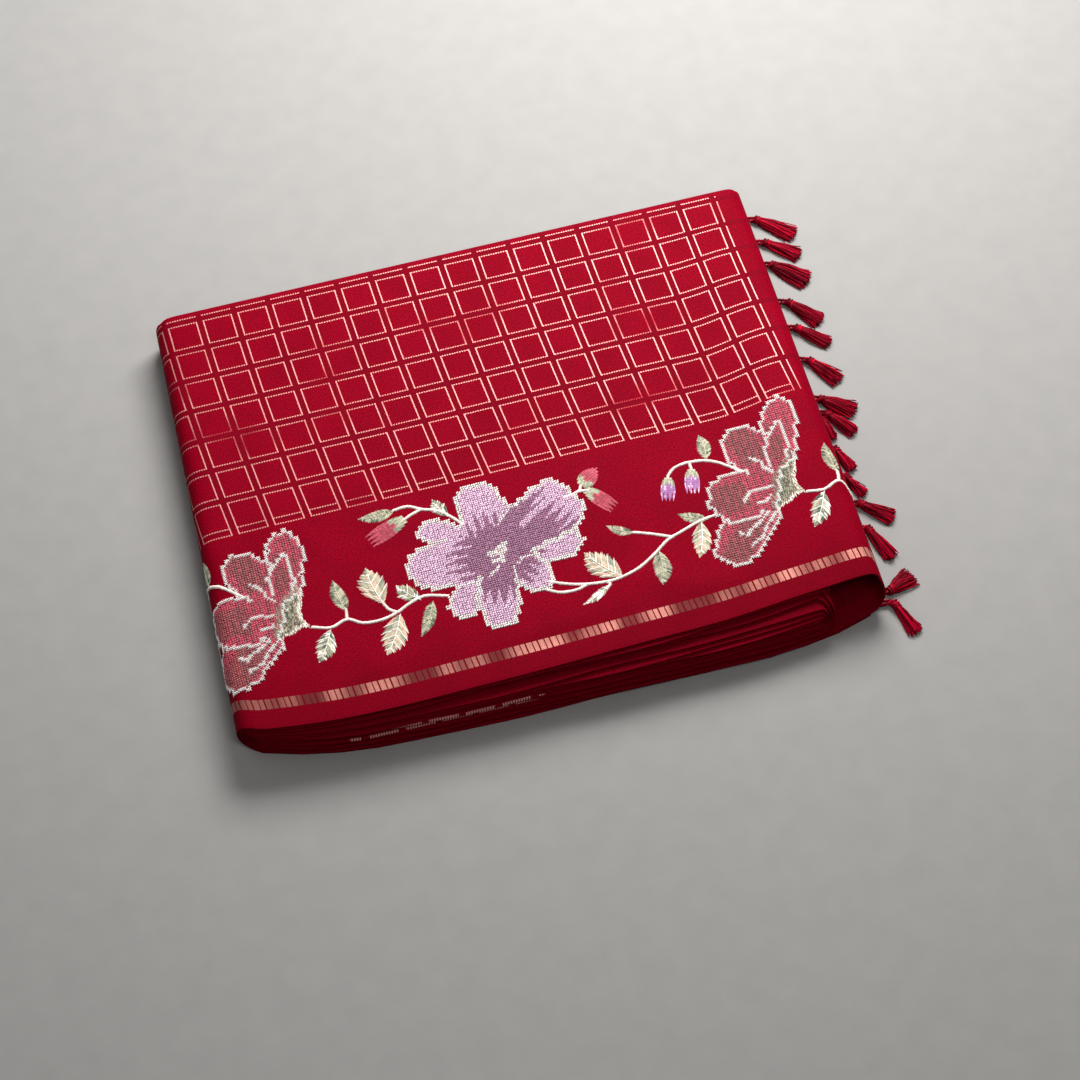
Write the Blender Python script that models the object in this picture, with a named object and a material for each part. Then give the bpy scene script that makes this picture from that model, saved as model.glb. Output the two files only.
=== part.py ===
"""Folded silk sari with a knotted tassel at every step of its end.

The cloth is one long strip, folded in four along its length beforehand, and then
folded flat over and over into a pack. Here that strip is one sheet that runs back
and forth through sixteen levels. Its outer end lies lowest and carries the tassels.
X runs along the border, Y to the back, Z up. The pack rests on Z = 0.
Sizes are in millimetres, and each mesh is turned into metres as it is made.
"""
import math
from collections import namedtuple

import bmesh
import bpy
from mathutils import Vector

MM = 0.001
SHARP_ANGLE = math.radians(50)

# The strip and its pack.
LEVELS = 16
SHEET = 1.1
PACK_HEIGHT = 28.0
PITCH = (PACK_HEIGHT - SHEET) / (LEVELS - 1)

# The folds at the two ends, at mid height of the pack, and how they lean with Y.
LEFT_REACH = -195.4
LEFT_LEAN = 0.038
RIGHT_REACH = 197.4
RIGHT_LEAN = 0.012
FOLD_STEP = 1.65
LEFT_FOLD_DEPTH = 12.5
RIGHT_FOLD_DEPTH = 11.0
INNER_FOLD_DEPTH = 10.2

# The outermost folds are a little squarer than an ellipse, whose power is 2.
ROUND_POWER = 2.0
SQUARER_POWER = 2.6

# The inner folds on the right stop short of the outer one, most of all in front.
RECESS_FRONT = 33.0
RECESS_BACK = 13.0

# The tasselled end of the strip, on the floor, and the hidden inner end.
END_REACH = 188.6
INNER_END_SETBACK = 4.0

BACK_REACH = 146.0
FRONT_Y = -155.0

# How far forward the front edges lie, along the pack: the top sheet and the lowest.
Edge = namedtuple("Edge", "x top_y floor_y")
EDGES = (
    Edge(-201, -142.0, -142.0),
    Edge(-184, -149.0, -153.0),
    Edge(-130, -154.8, -164.5),
    Edge(0, -154.9, -169.5),
    Edge(90, -153.6, -171.5),
    Edge(150, -149.0, -169.5),
    Edge(198, -147.0, -158.5),
)

# The share of that step that each level takes, from the floor up, and how far its
# back edge draws in.
Level = namedtuple("Level", "step_share back_in")
LEVEL_ROWS = (
    Level(1.00, 3.0),
    Level(0.98, 1.5),
    Level(0.95, 2.5),
    Level(0.93, 1.0),
    Level(0.90, 2.0),
    Level(0.88, 0.5),
    Level(0.85, 1.5),
    Level(0.82, 2.5),
    Level(0.78, 1.0),
    Level(0.74, 2.0),
    Level(0.70, 0.5),
    Level(0.62, 1.5),
    Level(0.48, 1.0),
    Level(0.16, 2.0),
    Level(0.08, 1.0),
    Level(0.00, 0.0),
)

# Soft swells and hollows of the top sheet, which the levels below share less and less.
Swell = namedtuple("Swell", "x y turn_deg half_length half_width height")
SWELLS = (
    Swell(176, -70, 92, 120, 17, 2.6),
    Swell(120, 5, 62, 70, 22, -1.1),
    Swell(20, -60, 12, 90, 32, 0.8),
    Swell(-80, 60, -20, 80, 38, -0.7),
    Swell(-165, -110, 70, 55, 22, 0.7),
)
RELIEF_FADE = 2.5

# Where the sheet has its rows of points.
CROSS_STATIONS = (0.0, 0.12, 0.32, 0.52, 0.72, 0.9, 1.0)
LENGTH_STATIONS = (-150, -102, -54, -6, 42, 90, 138)
OUTER_STATION = 165
FOLD_SEGMENTS = 6
SETTLE_ROUNDS = 4
SLOPE_STEP = 1.0

# The tassels: where the legs leave the edge, the knot, the tip, and the half spread.
Tassel = namedtuple("Tassel", "edge_y knot_x knot_y tip_x tip_y spread")
TASSELS = (
    Tassel(139, 210.0, 134.0, 230.0, 117.0, 5.0),
    Tassel(121, 210.0, 115.0, 228.0, 100.5, 4.5),
    Tassel(103, 209.0, 97.0, 227.0, 80.0, 6.5),
    Tassel(74, 210.0, 66.0, 225.0, 48.0, 5.0),
    Tassel(52, 209.0, 46.0, 225.0, 30.5, 4.2),
    Tassel(28, 209.0, 20.0, 222.0, 2.0, 5.0),
    Tassel(-1, 207.0, -9.0, 224.5, -22.0, 5.5),
    Tassel(-14, 207.0, -20.5, 219.0, -37.0, 4.0),
    Tassel(-23, 202.6, -24.5, 204.6, -37.5, 2.6),
    Tassel(-46, 203.0, -46.5, 209.0, -62.0, 3.0),
    Tassel(-66, 203.0, -67.0, 210.0, -81.0, 3.0),
    Tassel(-83, 206.0, -87.5, 222.0, -102.0, 4.5),
    Tassel(-102, 204.5, -106.0, 212.5, -128.0, 4.0),
    Tassel(-141, 204.0, -149.0, 219.5, -142.5, 5.5),
    Tassel(-154, 203.0, -159.5, 210.0, -180.5, 3.6),
)

# The strands of one tassel: a grid of them leaves the knot and fans out to the tips.
STRAND_COLUMNS = 5
STRAND_ROWS = 3
STRAND_WIDTH = 1.15
STRAND_NARROW = 0.9
STRAND_RISE = 1.35
STRAND_FILL = 0.8
OUTER_SHORTER = 0.05
UPPER_SHORTER = 0.8
UNEVEN_LENGTH = 0.8
UNEVEN_SIDE = 0.35
Fan = namedtuple("Fan", "part spread_share")
FAN = (Fan(0.45, 0.76), Fan(1.0, 1.2))

# The two legs of one tassel, from the knot back to the cloth's edge.
LEG_WIDTH = 1.1
LEG_GAP = 0.35
LEG_SPLAY = 2.6
LEG_COLUMNS = (1, 3)
LEG_ROW = 1
LEG_START_BACK = 4.6
LEG_START_SPLAY = 1.5
LEG_START_HEIGHT = 1.4
LEG_BEND = 0.4

# The knot, ring by ring from the legs to the strands.
Ring = namedtuple("Ring", "along half_width half_height")
KNOT = (
    Ring(-2.9, 1.9, 1.2),
    Ring(-1.2, 2.5, 2.2),
    Ring(0.9, 2.4, 2.2),
    Ring(2.2, 2.5, 1.8),
)
KNOT_CENTRE_HEIGHT = 2.2


def clear_scene():
    for old in list(bpy.data.objects):
        bpy.data.objects.remove(old, do_unlink=True)


def silk(name, colour, roughness):
    material = bpy.data.materials.new(name)
    material.use_nodes = True
    shader = material.node_tree.nodes["Principled BSDF"]
    shader.inputs["Base Color"].default_value = (*colour, 1.0)
    shader.inputs["Roughness"].default_value = roughness
    shader.inputs["Metallic"].default_value = 0.0
    return material


def edge_at(column, x):
    """Read a column of EDGES at any x, on a curve that passes through the rows."""
    last = len(EDGES) - 1
    x = min(max(x, EDGES[0].x), EDGES[last].x)
    first = max(i for i in range(last) if EDGES[i].x <= x)
    near = getattr(EDGES[first], column)
    far = getattr(EDGES[first + 1], column)

    def slope(i):
        low = EDGES[max(i - 1, 0)]
        high = EDGES[min(i + 1, last)]
        return (getattr(high, column) - getattr(low, column)) / (high.x - low.x)

    run = EDGES[first + 1].x - EDGES[first].x
    t = (x - EDGES[first].x) / run
    return (
        (1 + 2 * t) * (1 - t) ** 2 * near
        + t * t * (3 - 2 * t) * far
        + t * (1 - t) ** 2 * run * slope(first)
        - t * t * (1 - t) * run * slope(first + 1)
    )


def relief(x, y):
    total = 0.0
    for swell in SWELLS:
        turn = math.radians(swell.turn_deg)
        dx = x - swell.x
        dy = y - swell.y
        along = (dx * math.cos(turn) + dy * math.sin(turn)) / swell.half_length
        across = (dy * math.cos(turn) - dx * math.sin(turn)) / swell.half_width
        total += swell.height * math.exp(-along * along - across * across)
    return total


def level_height(level, x, y):
    share = (level / (LEVELS - 1)) ** RELIEF_FADE
    return SHEET / 2 + level * PITCH + share * relief(x, y)


def level_normal(level, x, y):
    step = SLOPE_STEP
    rise_x = level_height(level, x + step, y) - level_height(level, x - step, y)
    rise_y = level_height(level, x, y + step) - level_height(level, x, y - step)
    return Vector((-rise_x, -rise_y, 2 * step)).normalized()


def edge_y(level, x, cross):
    """Y of a point that lies this share of the way across the strip."""
    low = int(math.floor(level))
    high = min(low + 1, LEVELS - 1)
    part = level - low
    under = LEVEL_ROWS[low]
    over = LEVEL_ROWS[high]
    share = under.step_share * (1 - part) + over.step_share * part
    drawn_in = under.back_in * (1 - part) + over.back_in * part
    top = edge_at("top_y", x)
    front = top + share * (edge_at("floor_y", x) - top)
    back = BACK_REACH - drawn_in
    return front + cross * (back - front)


def settle(level, cross, x_of_y):
    """Find the point of a level where x fits its y, and y fits its x."""
    y = FRONT_Y + cross * (BACK_REACH - FRONT_Y)
    for _ in range(SETTLE_ROUNDS):
        x = x_of_y(y)
        y = edge_y(level, x, cross)
    return x, y


def left_tangent(y):
    return LEFT_REACH + LEFT_LEAN * y + LEFT_FOLD_DEPTH


def outer_right_tangent(y):
    return RIGHT_REACH + RIGHT_LEAN * y - RIGHT_FOLD_DEPTH


def inner_right_tangent(y):
    share = (y - FRONT_Y) / (BACK_REACH - FRONT_Y)
    recess = RECESS_FRONT + share * (RECESS_BACK - RECESS_FRONT)
    return RIGHT_REACH + RIGHT_LEAN * y - recess - INNER_FOLD_DEPTH


def level_order():
    """Levels in the order in which the strip passes through them."""
    order = []
    for step in range(LEVELS // 2):
        order.append(step)
        order.append(LEVELS - 1 - step)
    return order


def right_end_of(level, place):
    """The rule that gives x at the right end of a level's flat run."""
    if place == 0:
        return lambda y: END_REACH + RIGHT_LEAN * y
    if place == LEVELS - 1:
        return lambda y: inner_right_tangent(y) - INNER_END_SETBACK
    if level in (1, LEVELS - 1):
        return outer_right_tangent
    return inner_right_tangent


def flat_columns(level, place):
    """Columns of points and normals along one level, from right to left."""
    rules = [right_end_of(level, place)]
    if level in (0, 1, LEVELS - 1):
        rules.append(lambda y: OUTER_STATION)
    for station in reversed(LENGTH_STATIONS):
        rules.append(lambda y, here=station: here)
    rules.append(left_tangent)
    columns = []
    for rule in rules:
        column = []
        for cross in CROSS_STATIONS:
            x, y = settle(level, cross, rule)
            column.append((Vector((x, y, level_height(level, x, y))), level_normal(level, x, y)))
        columns.append(column)
    return columns


def fold_columns(start, end, side, rank):
    """Columns around one fold, from level start to level end, bulging to the side."""
    if side < 0:
        tangent = left_tangent
        depth = LEFT_FOLD_DEPTH - rank * FOLD_STEP
    elif rank == 0:
        tangent = outer_right_tangent
        depth = RIGHT_FOLD_DEPTH
    else:
        tangent = inner_right_tangent
        depth = INNER_FOLD_DEPTH - (rank - 1) * FOLD_STEP
    outermost = 1 - rank / (LEVELS / 2 - 1)
    power = ROUND_POWER + (SQUARER_POWER - ROUND_POWER) * outermost
    columns = []
    for step in range(1, FOLD_SEGMENTS):
        turn = math.pi * step / FOLD_SEGMENTS
        out = math.sin(turn) ** (2 / power)
        up = math.copysign(abs(math.cos(turn)) ** (2 / power), math.cos(turn))
        level = start + (end - start) * (1 - math.cos(turn)) / 2
        column = []
        for cross in CROSS_STATIONS:
            def bulged(y, shift=side * depth * out):
                return tangent(y) + shift
            x, y = settle(level, cross, bulged)
            root = tangent(y)
            start_z = level_height(start, root, y)
            end_z = level_height(end, root, y)
            half = (start_z - end_z) / 2
            point = Vector((x, y, (start_z + end_z) / 2 + half * up))
            outward = Vector((
                side * out ** (power - 1) / depth,
                0,
                math.copysign(abs(up) ** (power - 1) / abs(half), up * half),
            ))
            column.append((point, -outward.normalized()))
        columns.append(column)
    return columns


def strip_columns():
    """All columns of the strip, each with the side that its diagonals lean to."""
    order = level_order()
    strip = []
    for place, level in enumerate(order):
        flat = flat_columns(level, place)
        going_left = place % 2 == 0
        if going_left:
            inner = flat
        else:
            inner = [[(point, -normal) for point, normal in column] for column in reversed(flat)]
        strip += [(column, going_left) for column in inner]
        if place < LEVELS - 1:
            side = -1 if going_left else 1
            rank = place // 2
            fold = fold_columns(level, order[place + 1], side, rank)
            strip += [(column, going_left) for column in fold]
    return strip


def to_object(name, maker, material):
    """Turn a closed shape's faces outwards and its sizes into metres, and place it."""
    bmesh.ops.recalc_face_normals(maker, faces=maker.faces)
    bmesh.ops.scale(maker, vec=(MM, MM, MM), verts=maker.verts)
    mesh = bpy.data.meshes.new(name)
    maker.to_mesh(mesh)
    maker.free()
    mesh.materials.append(material)
    mesh.shade_smooth()
    mesh.set_sharp_from_angle(angle=SHARP_ANGLE)
    thing = bpy.data.objects.new(name, mesh)
    bpy.context.scene.collection.objects.link(thing)


def add_cloth(material):
    strip = strip_columns()
    rows = len(CROSS_STATIONS)
    maker = bmesh.new()
    sides = []
    for sign in (1, -1):
        grid = []
        for column, _ in strip:
            grid.append([maker.verts.new(p + n * (sign * SHEET / 2)) for p, n in column])
        sides.append(grid)

    for grid in sides:
        for i in range(len(strip) - 1):
            for j in range(rows - 1):
                a, b = grid[i][j], grid[i + 1][j]
                c, d = grid[i + 1][j + 1], grid[i][j + 1]
                if strip[i][1]:
                    maker.faces.new((a, b, c))
                    maker.faces.new((a, c, d))
                else:
                    maker.faces.new((a, b, d))
                    maker.faces.new((b, c, d))

    upper, lower = sides
    for j in (0, rows - 1):
        for i in range(len(strip) - 1):
            maker.faces.new((upper[i][j], upper[i + 1][j], lower[i + 1][j], lower[i][j]))
    for i in (0, len(strip) - 1):
        for j in range(rows - 1):
            maker.faces.new((upper[i][j], upper[i][j + 1], lower[i][j + 1], lower[i][j]))
    to_object("sari_cloth", maker, material)


def knot_ring(maker, centre, side, half_width, half_height):
    """A grid of points inside one ellipse, as wide in strands as the knot is."""
    grid = []
    for c in range(STRAND_COLUMNS + 1):
        line = []
        for r in range(STRAND_ROWS + 1):
            a = 2 * c / STRAND_COLUMNS - 1
            b = 2 * r / STRAND_ROWS - 1
            across = a * math.sqrt(1 - b * b / 2) * half_width
            rise = b * math.sqrt(1 - a * a / 2) * half_height
            line.append(maker.verts.new(centre + side * across + Vector((0, 0, rise))))
        grid.append(line)
    return grid


def rim(grid):
    """The points of a grid's outline, in order."""
    last_c = STRAND_COLUMNS
    last_r = STRAND_ROWS
    path = [(c, 0) for c in range(last_c)]
    path += [(last_c, r) for r in range(last_r)]
    path += [(c, last_r) for c in range(last_c, 0, -1)]
    path += [(0, r) for r in range(last_r, 0, -1)]
    return [grid[c][r] for c, r in path]


def add_strand(maker, root, stations):
    """Grow a four-sided strand from four root points through (centre, side, half) rows."""
    loop = root
    for centre, side, half_width, half_height in stations:
        across = side * half_width
        rise = Vector((0, 0, half_height))
        corners = (centre - across - rise, centre + across - rise,
                   centre + across + rise, centre - across + rise)
        ahead = [maker.verts.new(corner) for corner in corners]
        for i in range(4):
            k = (i + 1) % 4
            maker.faces.new((loop[i], loop[k], ahead[k], ahead[i]))
        loop = ahead
    maker.faces.new(loop)


def add_knot(maker, knot, along, side):
    """Loft the knot, and give back the grids of its two ends."""
    rings = []
    for ring in KNOT:
        centre = knot + along * ring.along + Vector((0, 0, KNOT_CENTRE_HEIGHT))
        rings.append(knot_ring(maker, centre, side, ring.half_width, ring.half_height))
    for near, far in zip(rings, rings[1:]):
        near_rim = rim(near)
        far_rim = rim(far)
        for i in range(len(near_rim)):
            k = (i + 1) % len(near_rim)
            maker.faces.new((near_rim[i], near_rim[k], far_rim[k], far_rim[i]))
    for grid in rings[1:-1]:
        inside = {point for line in grid for point in line} - set(rim(grid))
        bmesh.ops.delete(maker, geom=list(inside), context="VERTS")
    return rings[0], rings[-1]


def cell(grid, c, r):
    return [grid[c][r], grid[c + 1][r], grid[c + 1][r + 1], grid[c][r + 1]]


def add_strands(maker, number, front, knot, along, side, length, spread):
    half = STRAND_WIDTH / 2
    for c in range(STRAND_COLUMNS):
        for r in range(STRAND_ROWS):
            a = 2 * (c + 0.5) / STRAND_COLUMNS - 1
            wander = math.sin(7.0 * number + 2.3 * c + 4.1 * r)
            far = length * (1 - OUTER_SHORTER * a * a) + UNEVEN_LENGTH * wander - UPPER_SHORTER * r
            rise = Vector((0, 0, half + r * STRAND_RISE))
            stations = []
            for fan in FAN:
                room = spread * fan.spread_share / STRAND_COLUMNS
                half_width = min(half * STRAND_NARROW, room * STRAND_FILL)
                shift = min(UNEVEN_SIDE, room - half_width) * wander if r else 0
                width = a * spread * fan.spread_share + shift
                centre = knot + along * far * fan.part + side * width + rise
                stations.append((centre, side, half_width, half))
            add_strand(maker, cell(front, c, r), stations)


def add_legs(maker, back, knot, along, side, leave_y):
    half = LEG_WIDTH / 2
    edge_x = END_REACH + RIGHT_LEAN * leave_y + LEG_GAP
    upright = Vector((0, 1, 0))
    for c in range(STRAND_COLUMNS):
        for r in range(STRAND_ROWS):
            root = cell(back, c, r)
            if c not in LEG_COLUMNS or r != LEG_ROW:
                maker.faces.new(root)
                continue
            sign = 1 if c == LEG_COLUMNS[1] else -1
            end = Vector((edge_x, leave_y + sign * LEG_SPLAY, half))
            start = knot - along * LEG_START_BACK + side * sign * LEG_START_SPLAY
            start.z = LEG_START_HEIGHT
            bend = start.lerp(end, LEG_BEND)
            bend.z = half
            turned = (side + upright).normalized()
            places = ((start, side), (bend, turned), (end, upright))
            add_strand(maker, root, [(centre, across, half, half) for centre, across in places])


def add_tassel(number, row, material):
    knot = Vector((row.knot_x, row.knot_y, 0))
    reach = Vector((row.tip_x, row.tip_y, 0)) - knot
    along = reach.normalized()
    side = Vector((-along.y, along.x, 0))
    maker = bmesh.new()
    back, front = add_knot(maker, knot, along, side)
    add_strands(maker, number, front, knot, along, side, reach.length, row.spread)
    add_legs(maker, back, knot, along, side, row.edge_y)
    to_object(f"tassel_{number:02d}", maker, material)


def main():
    clear_scene()
    add_cloth(silk("crimson_silk", (0.42, 0.010, 0.033), 0.55))
    yarn = silk("tassel_silk", (0.30, 0.008, 0.030), 0.45)
    for number, row in enumerate(TASSELS, start=1):
        add_tassel(number, row, yarn)


main()
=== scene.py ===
"""Looks of the folded silk sari: woven checks, ladder border, embroidery and tassels.

Tables are in millimetres, meshes in metres, in the pack's own frame: X along the
border, Y to the back, Z up, with the pack resting on Z = 0. The cloth is one fine
sheet on the folds of the pack's solid. A place on the cloth is given as it lies on
the top sheet, (x, y), and runs on over the folds at both ends.
"""
import math
from collections import namedtuple

import bmesh
import bpy
import numpy as np
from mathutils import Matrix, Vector

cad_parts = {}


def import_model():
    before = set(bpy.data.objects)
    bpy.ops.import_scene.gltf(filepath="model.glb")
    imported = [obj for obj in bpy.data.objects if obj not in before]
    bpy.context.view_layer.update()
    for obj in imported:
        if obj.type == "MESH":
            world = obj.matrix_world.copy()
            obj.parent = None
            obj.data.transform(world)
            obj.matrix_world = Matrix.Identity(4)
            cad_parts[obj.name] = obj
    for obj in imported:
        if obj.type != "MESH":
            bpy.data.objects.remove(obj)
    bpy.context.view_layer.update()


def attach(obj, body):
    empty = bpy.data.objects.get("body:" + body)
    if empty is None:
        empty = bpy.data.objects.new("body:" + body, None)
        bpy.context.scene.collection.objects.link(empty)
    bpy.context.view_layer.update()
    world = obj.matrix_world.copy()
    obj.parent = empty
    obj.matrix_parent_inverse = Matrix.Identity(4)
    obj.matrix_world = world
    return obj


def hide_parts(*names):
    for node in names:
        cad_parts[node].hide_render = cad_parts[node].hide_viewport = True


MM = 0.001


# Node helpers.

class Value:
    """A node's output that Python's operators turn into Math nodes."""

    def __init__(self, tree, socket):
        self.tree = tree
        self.socket = socket

    def maths(self, operation, *others):
        sockets = dict(enumerate((self, *others)))
        return self.tree.add("ShaderNodeMath", {"operation": operation}, sockets)

    def __add__(self, other):
        return self.maths("ADD", other)

    def __sub__(self, other):
        return self.maths("SUBTRACT", other)

    def __mul__(self, other):
        return self.maths("MULTIPLY", other)

    def __truediv__(self, other):
        return self.maths("DIVIDE", other)

    def __gt__(self, other):
        return self.maths("GREATER_THAN", other)

    def __lt__(self, other):
        return self.maths("LESS_THAN", other)

    __radd__ = __add__
    __rmul__ = __mul__

    def __rsub__(self, other):
        return self * -1.0 + other

    def __abs__(self):
        return self.maths("ABSOLUTE")

    def fraction(self):
        return self.maths("FRACT")

    def sine(self):
        return self.maths("SINE")

    def most(self, other):
        return self.maths("MAXIMUM", other)

    def ramp(self, low, high, start=0.0, end=1.0):
        """Rise smoothly from start to end as the value goes from low to high."""
        return self.tree.add(
            "ShaderNodeMapRange",
            {"interpolation_type": "SMOOTHSTEP"},
            {"Value": self, "From Min": low, "From Max": high, "To Min": start, "To Max": end},
        )


class Tree:
    """A node tree that is filled through one method."""

    def __init__(self, tree):
        self.tree = tree

    def add(self, kind, settings=None, sockets=None, output=0):
        node = self.tree.nodes.new(kind)
        for name, setting in (settings or {}).items():
            setattr(node, name, setting)
        for name, given in (sockets or {}).items():
            if isinstance(given, Value):
                self.tree.links.new(given.socket, node.inputs[name])
            else:
                node.inputs[name].default_value = given
        return Value(self, node.outputs[output])

    def mix(self, share, first, second):
        """Blend two colours by a share. The numbers are the colour sockets' places."""
        sockets = {0: share, 6: first, 7: second}
        return self.add("ShaderNodeMix", {"data_type": "RGBA"}, sockets, 2)

    def number(self, attribute):
        """The number that a mesh keeps for each point under this name."""
        return self.add("ShaderNodeAttribute", {"attribute_name": attribute}, None, "Fac")

    def noise(self, spot, scale, detail=2.0):
        sockets = {"Vector": spot, "Scale": scale, "Detail": detail}
        return self.add("ShaderNodeTexNoise", None, sockets)

    def own_place(self):
        """Object coordinates."""
        return self.add("ShaderNodeTexCoord", None, None, "Object")

    def bump(self, height, strength, distance):
        sockets = {"Strength": strength, "Distance": distance, "Height": height}
        return self.add("ShaderNodeBump", None, sockets)



def rgb(red, green, blue):
    """A screen colour, 0 to 255, as the linear colour that a shader takes."""
    linear = []
    for channel in (red, green, blue):
        share = channel / 255
        linear.append(share / 12.92 if share <= 0.04045 else ((share + 0.055) / 1.055) ** 2.4)
    return (*linear, 1.0)


def new_material(name, **constants):
    """A material and its tree, with the shader's constant sockets set."""
    material = bpy.data.materials.new(name)
    material.use_nodes = True
    shader = material.node_tree.nodes["Principled BSDF"]
    for socket, setting in constants.items():
        shader.inputs[socket.replace("_", " ")].default_value = setting
    return material, Tree(material.node_tree), shader


def feed(tree, shader, **values):
    """Link values that vary over the surface to the shader's sockets."""
    for socket, value in values.items():
        tree.tree.links.new(value.socket, shader.inputs[socket.replace("_", " ")])


# The pack, on the folds of its solid.

LEVELS = 16
SHEET = 1.1
PACK_HEIGHT = 28.0
PITCH = (PACK_HEIGHT - SHEET) / (LEVELS - 1)
LEFT_REACH = -195.4
LEFT_LEAN = 0.038
RIGHT_REACH = 197.4
RIGHT_LEAN = 0.012
FOLD_STEP = 1.65
LEFT_FOLD_DEPTH = 12.5
RIGHT_FOLD_DEPTH = 11.0
INNER_FOLD_DEPTH = 10.2
ROUND_POWER = 2.0
SQUARER_POWER = 2.6
RECESS_FRONT = 33.0
RECESS_BACK = 13.0
END_REACH = 188.6
INNER_END_SETBACK = 4.0
BACK_REACH = 146.0
FRONT_Y = -155.0

Edge = namedtuple("Edge", "x top_y floor_y")
EDGES = (
    Edge(-201, -142.0, -142.0),
    Edge(-184, -149.0, -153.0),
    Edge(-130, -154.8, -164.5),
    Edge(0, -154.9, -169.5),
    Edge(90, -153.6, -171.5),
    Edge(150, -149.0, -169.5),
    Edge(198, -147.0, -158.5),
)

Level = namedtuple("Level", "step_share back_in")
LEVEL_ROWS = (
    Level(1.00, 3.0),
    Level(0.98, 1.5),
    Level(0.95, 2.5),
    Level(0.93, 1.0),
    Level(0.90, 2.0),
    Level(0.88, 0.5),
    Level(0.85, 1.5),
    Level(0.82, 2.5),
    Level(0.78, 1.0),
    Level(0.74, 2.0),
    Level(0.70, 0.5),
    Level(0.62, 1.5),
    Level(0.48, 1.0),
    Level(0.16, 2.0),
    Level(0.08, 1.0),
    Level(0.00, 0.0),
)

Swell = namedtuple("Swell", "x y turn_deg half_length half_width height")
SWELLS = (
    Swell(176, -70, 92, 120, 17, 2.6),
    Swell(120, 5, 62, 70, 22, -1.1),
    Swell(20, -60, 12, 90, 32, 0.8),
    Swell(-80, 60, -20, 80, 38, -0.7),
    Swell(-165, -110, 70, 55, 22, 0.7),
)
RELIEF_FADE = 2.5

# Finer creases and puckers, which only the top sheet shows.
CREASES = (
    Swell(118, 52, 58, 34, 5, -0.35),
    Swell(150, -12, 70, 30, 6, 0.5),
    Swell(96, -128, 8, 46, 5, 0.35),
    Swell(-150, -8, 84, 40, 6, 0.35),
    Swell(-176, -96, 78, 30, 4, 0.4),
    Swell(-60, 118, 4, 60, 6, 0.3),
    Swell(40, 20, 20, 50, 7, -0.3),
    Swell(-20, -130, 3, 60, 4, 0.3),
    Swell(168, 96, 80, 36, 5, 0.4),
    Swell(70, -118, -20, 36, 6, 0.5),
    Swell(-112, -130, 12, 34, 5, 0.45),
    Swell(20, -136, 5, 40, 4, -0.4),
)

# The layers part a little along the front, by this much at each level, and their
# edges wander.
OPEN_FRONT = (0, 0.15, 0.3, 0.5, 0.7, 0.9, 1.05, 1.2, 1.35, 1.45, 1.5, 1.35, 0.95, 0.5, 0, 0)
OPEN_DEPTH = 40.0
EDGE_WANDER = 0.9
TOP_WANDER = 0.35
Wave = namedtuple("Wave", "size length step")
SWAY = Wave(0.25, 46, 0.9)
WANDER_WAVES = (Wave(1.0, 41, 2.1), Wave(0.5, 17, 3.7))
WANDER_END = 190
WANDER_FADE = 60

# How finely the sheet is drawn, in rows across it and columns along it. The rows
# crowd a little towards the front.
ROWS = 61
ROW_CROWDING = 1.15
TOP_COLUMNS = 92
OTHER_COLUMNS = 17
OUTER_FOLD_COLUMNS = 14
INNER_FOLD_COLUMNS = 8
SETTLE_ROUNDS = 5
SLOPE_STEP = 1.0

# The rim of the sheet, from its upper face to its lower one: two plies with a groove.
Ply = namedtuple("Ply", "height out")
RIM = (Ply(0.46, 0.22), Ply(0.22, 0.3), Ply(0.04, -0.35), Ply(-0.04, -0.35),
       Ply(-0.22, 0.3), Ply(-0.46, 0.22))


def edge_at(column, x):
    """Read a column of EDGES at any x, on a curve that passes through the rows."""
    xs = np.array([row.x for row in EDGES], float)
    ys = np.array([getattr(row, column) for row in EDGES], float)
    before = np.concatenate(([0], np.arange(len(xs) - 1)))
    after = np.concatenate((np.arange(1, len(xs)), [len(xs) - 1]))
    slopes = (ys[after] - ys[before]) / (xs[after] - xs[before])
    x = np.clip(x, xs[0], xs[-1])
    i = np.clip(np.searchsorted(xs, x, side="right") - 1, 0, len(xs) - 2)
    run = xs[i + 1] - xs[i]
    t = (x - xs[i]) / run
    return (
        (1 + 2 * t) * (1 - t) ** 2 * ys[i]
        + t * t * (3 - 2 * t) * ys[i + 1]
        + t * (1 - t) ** 2 * run * slopes[i]
        - t * t * (1 - t) * run * slopes[i + 1]
    )


def swell_sum(swells, x, y):
    """The height that swells or creases add at (x, y)."""
    total = 0.0
    for swell in swells:
        turn = math.radians(swell.turn_deg)
        dx = x - swell.x
        dy = y - swell.y
        along = (dx * math.cos(turn) + dy * math.sin(turn)) / swell.half_length
        across = (dy * math.cos(turn) - dx * math.sin(turn)) / swell.half_width
        total = total + swell.height * np.exp(-along * along - across * across)
    return total


def smooth(t):
    """Ease from 0 to 1."""
    t = np.clip(t, 0, 1)
    return t * t * (3 - 2 * t)


def wave_at(wave, level, x):
    """A wave along x that moves a step on at each level."""
    return wave.size * np.sin(x / wave.length + level * wave.step)


def level_height(level, x, y):
    """The height of the middle of a level's sheet."""
    share = (level / (LEVELS - 1)) ** RELIEF_FADE
    parted = np.interp(level, np.arange(LEVELS), OPEN_FRONT)
    near = smooth(1 - (y - edge_at("top_y", x)) / OPEN_DEPTH)
    sway = 1 - SWAY.size + wave_at(SWAY, level, x)
    height = SHEET / 2 + level * PITCH + share * swell_sum(SWELLS, x, y)
    return height - parted * near * sway


def wander(level, x):
    """How far a level's front edge strays from its even line."""
    size = TOP_WANDER if level > LEVELS - 1.5 else EDGE_WANDER
    waves = sum(wave_at(wave, level, x) for wave in WANDER_WAVES)
    return size * waves * smooth((WANDER_END - np.abs(x)) / WANDER_FADE)


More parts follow.
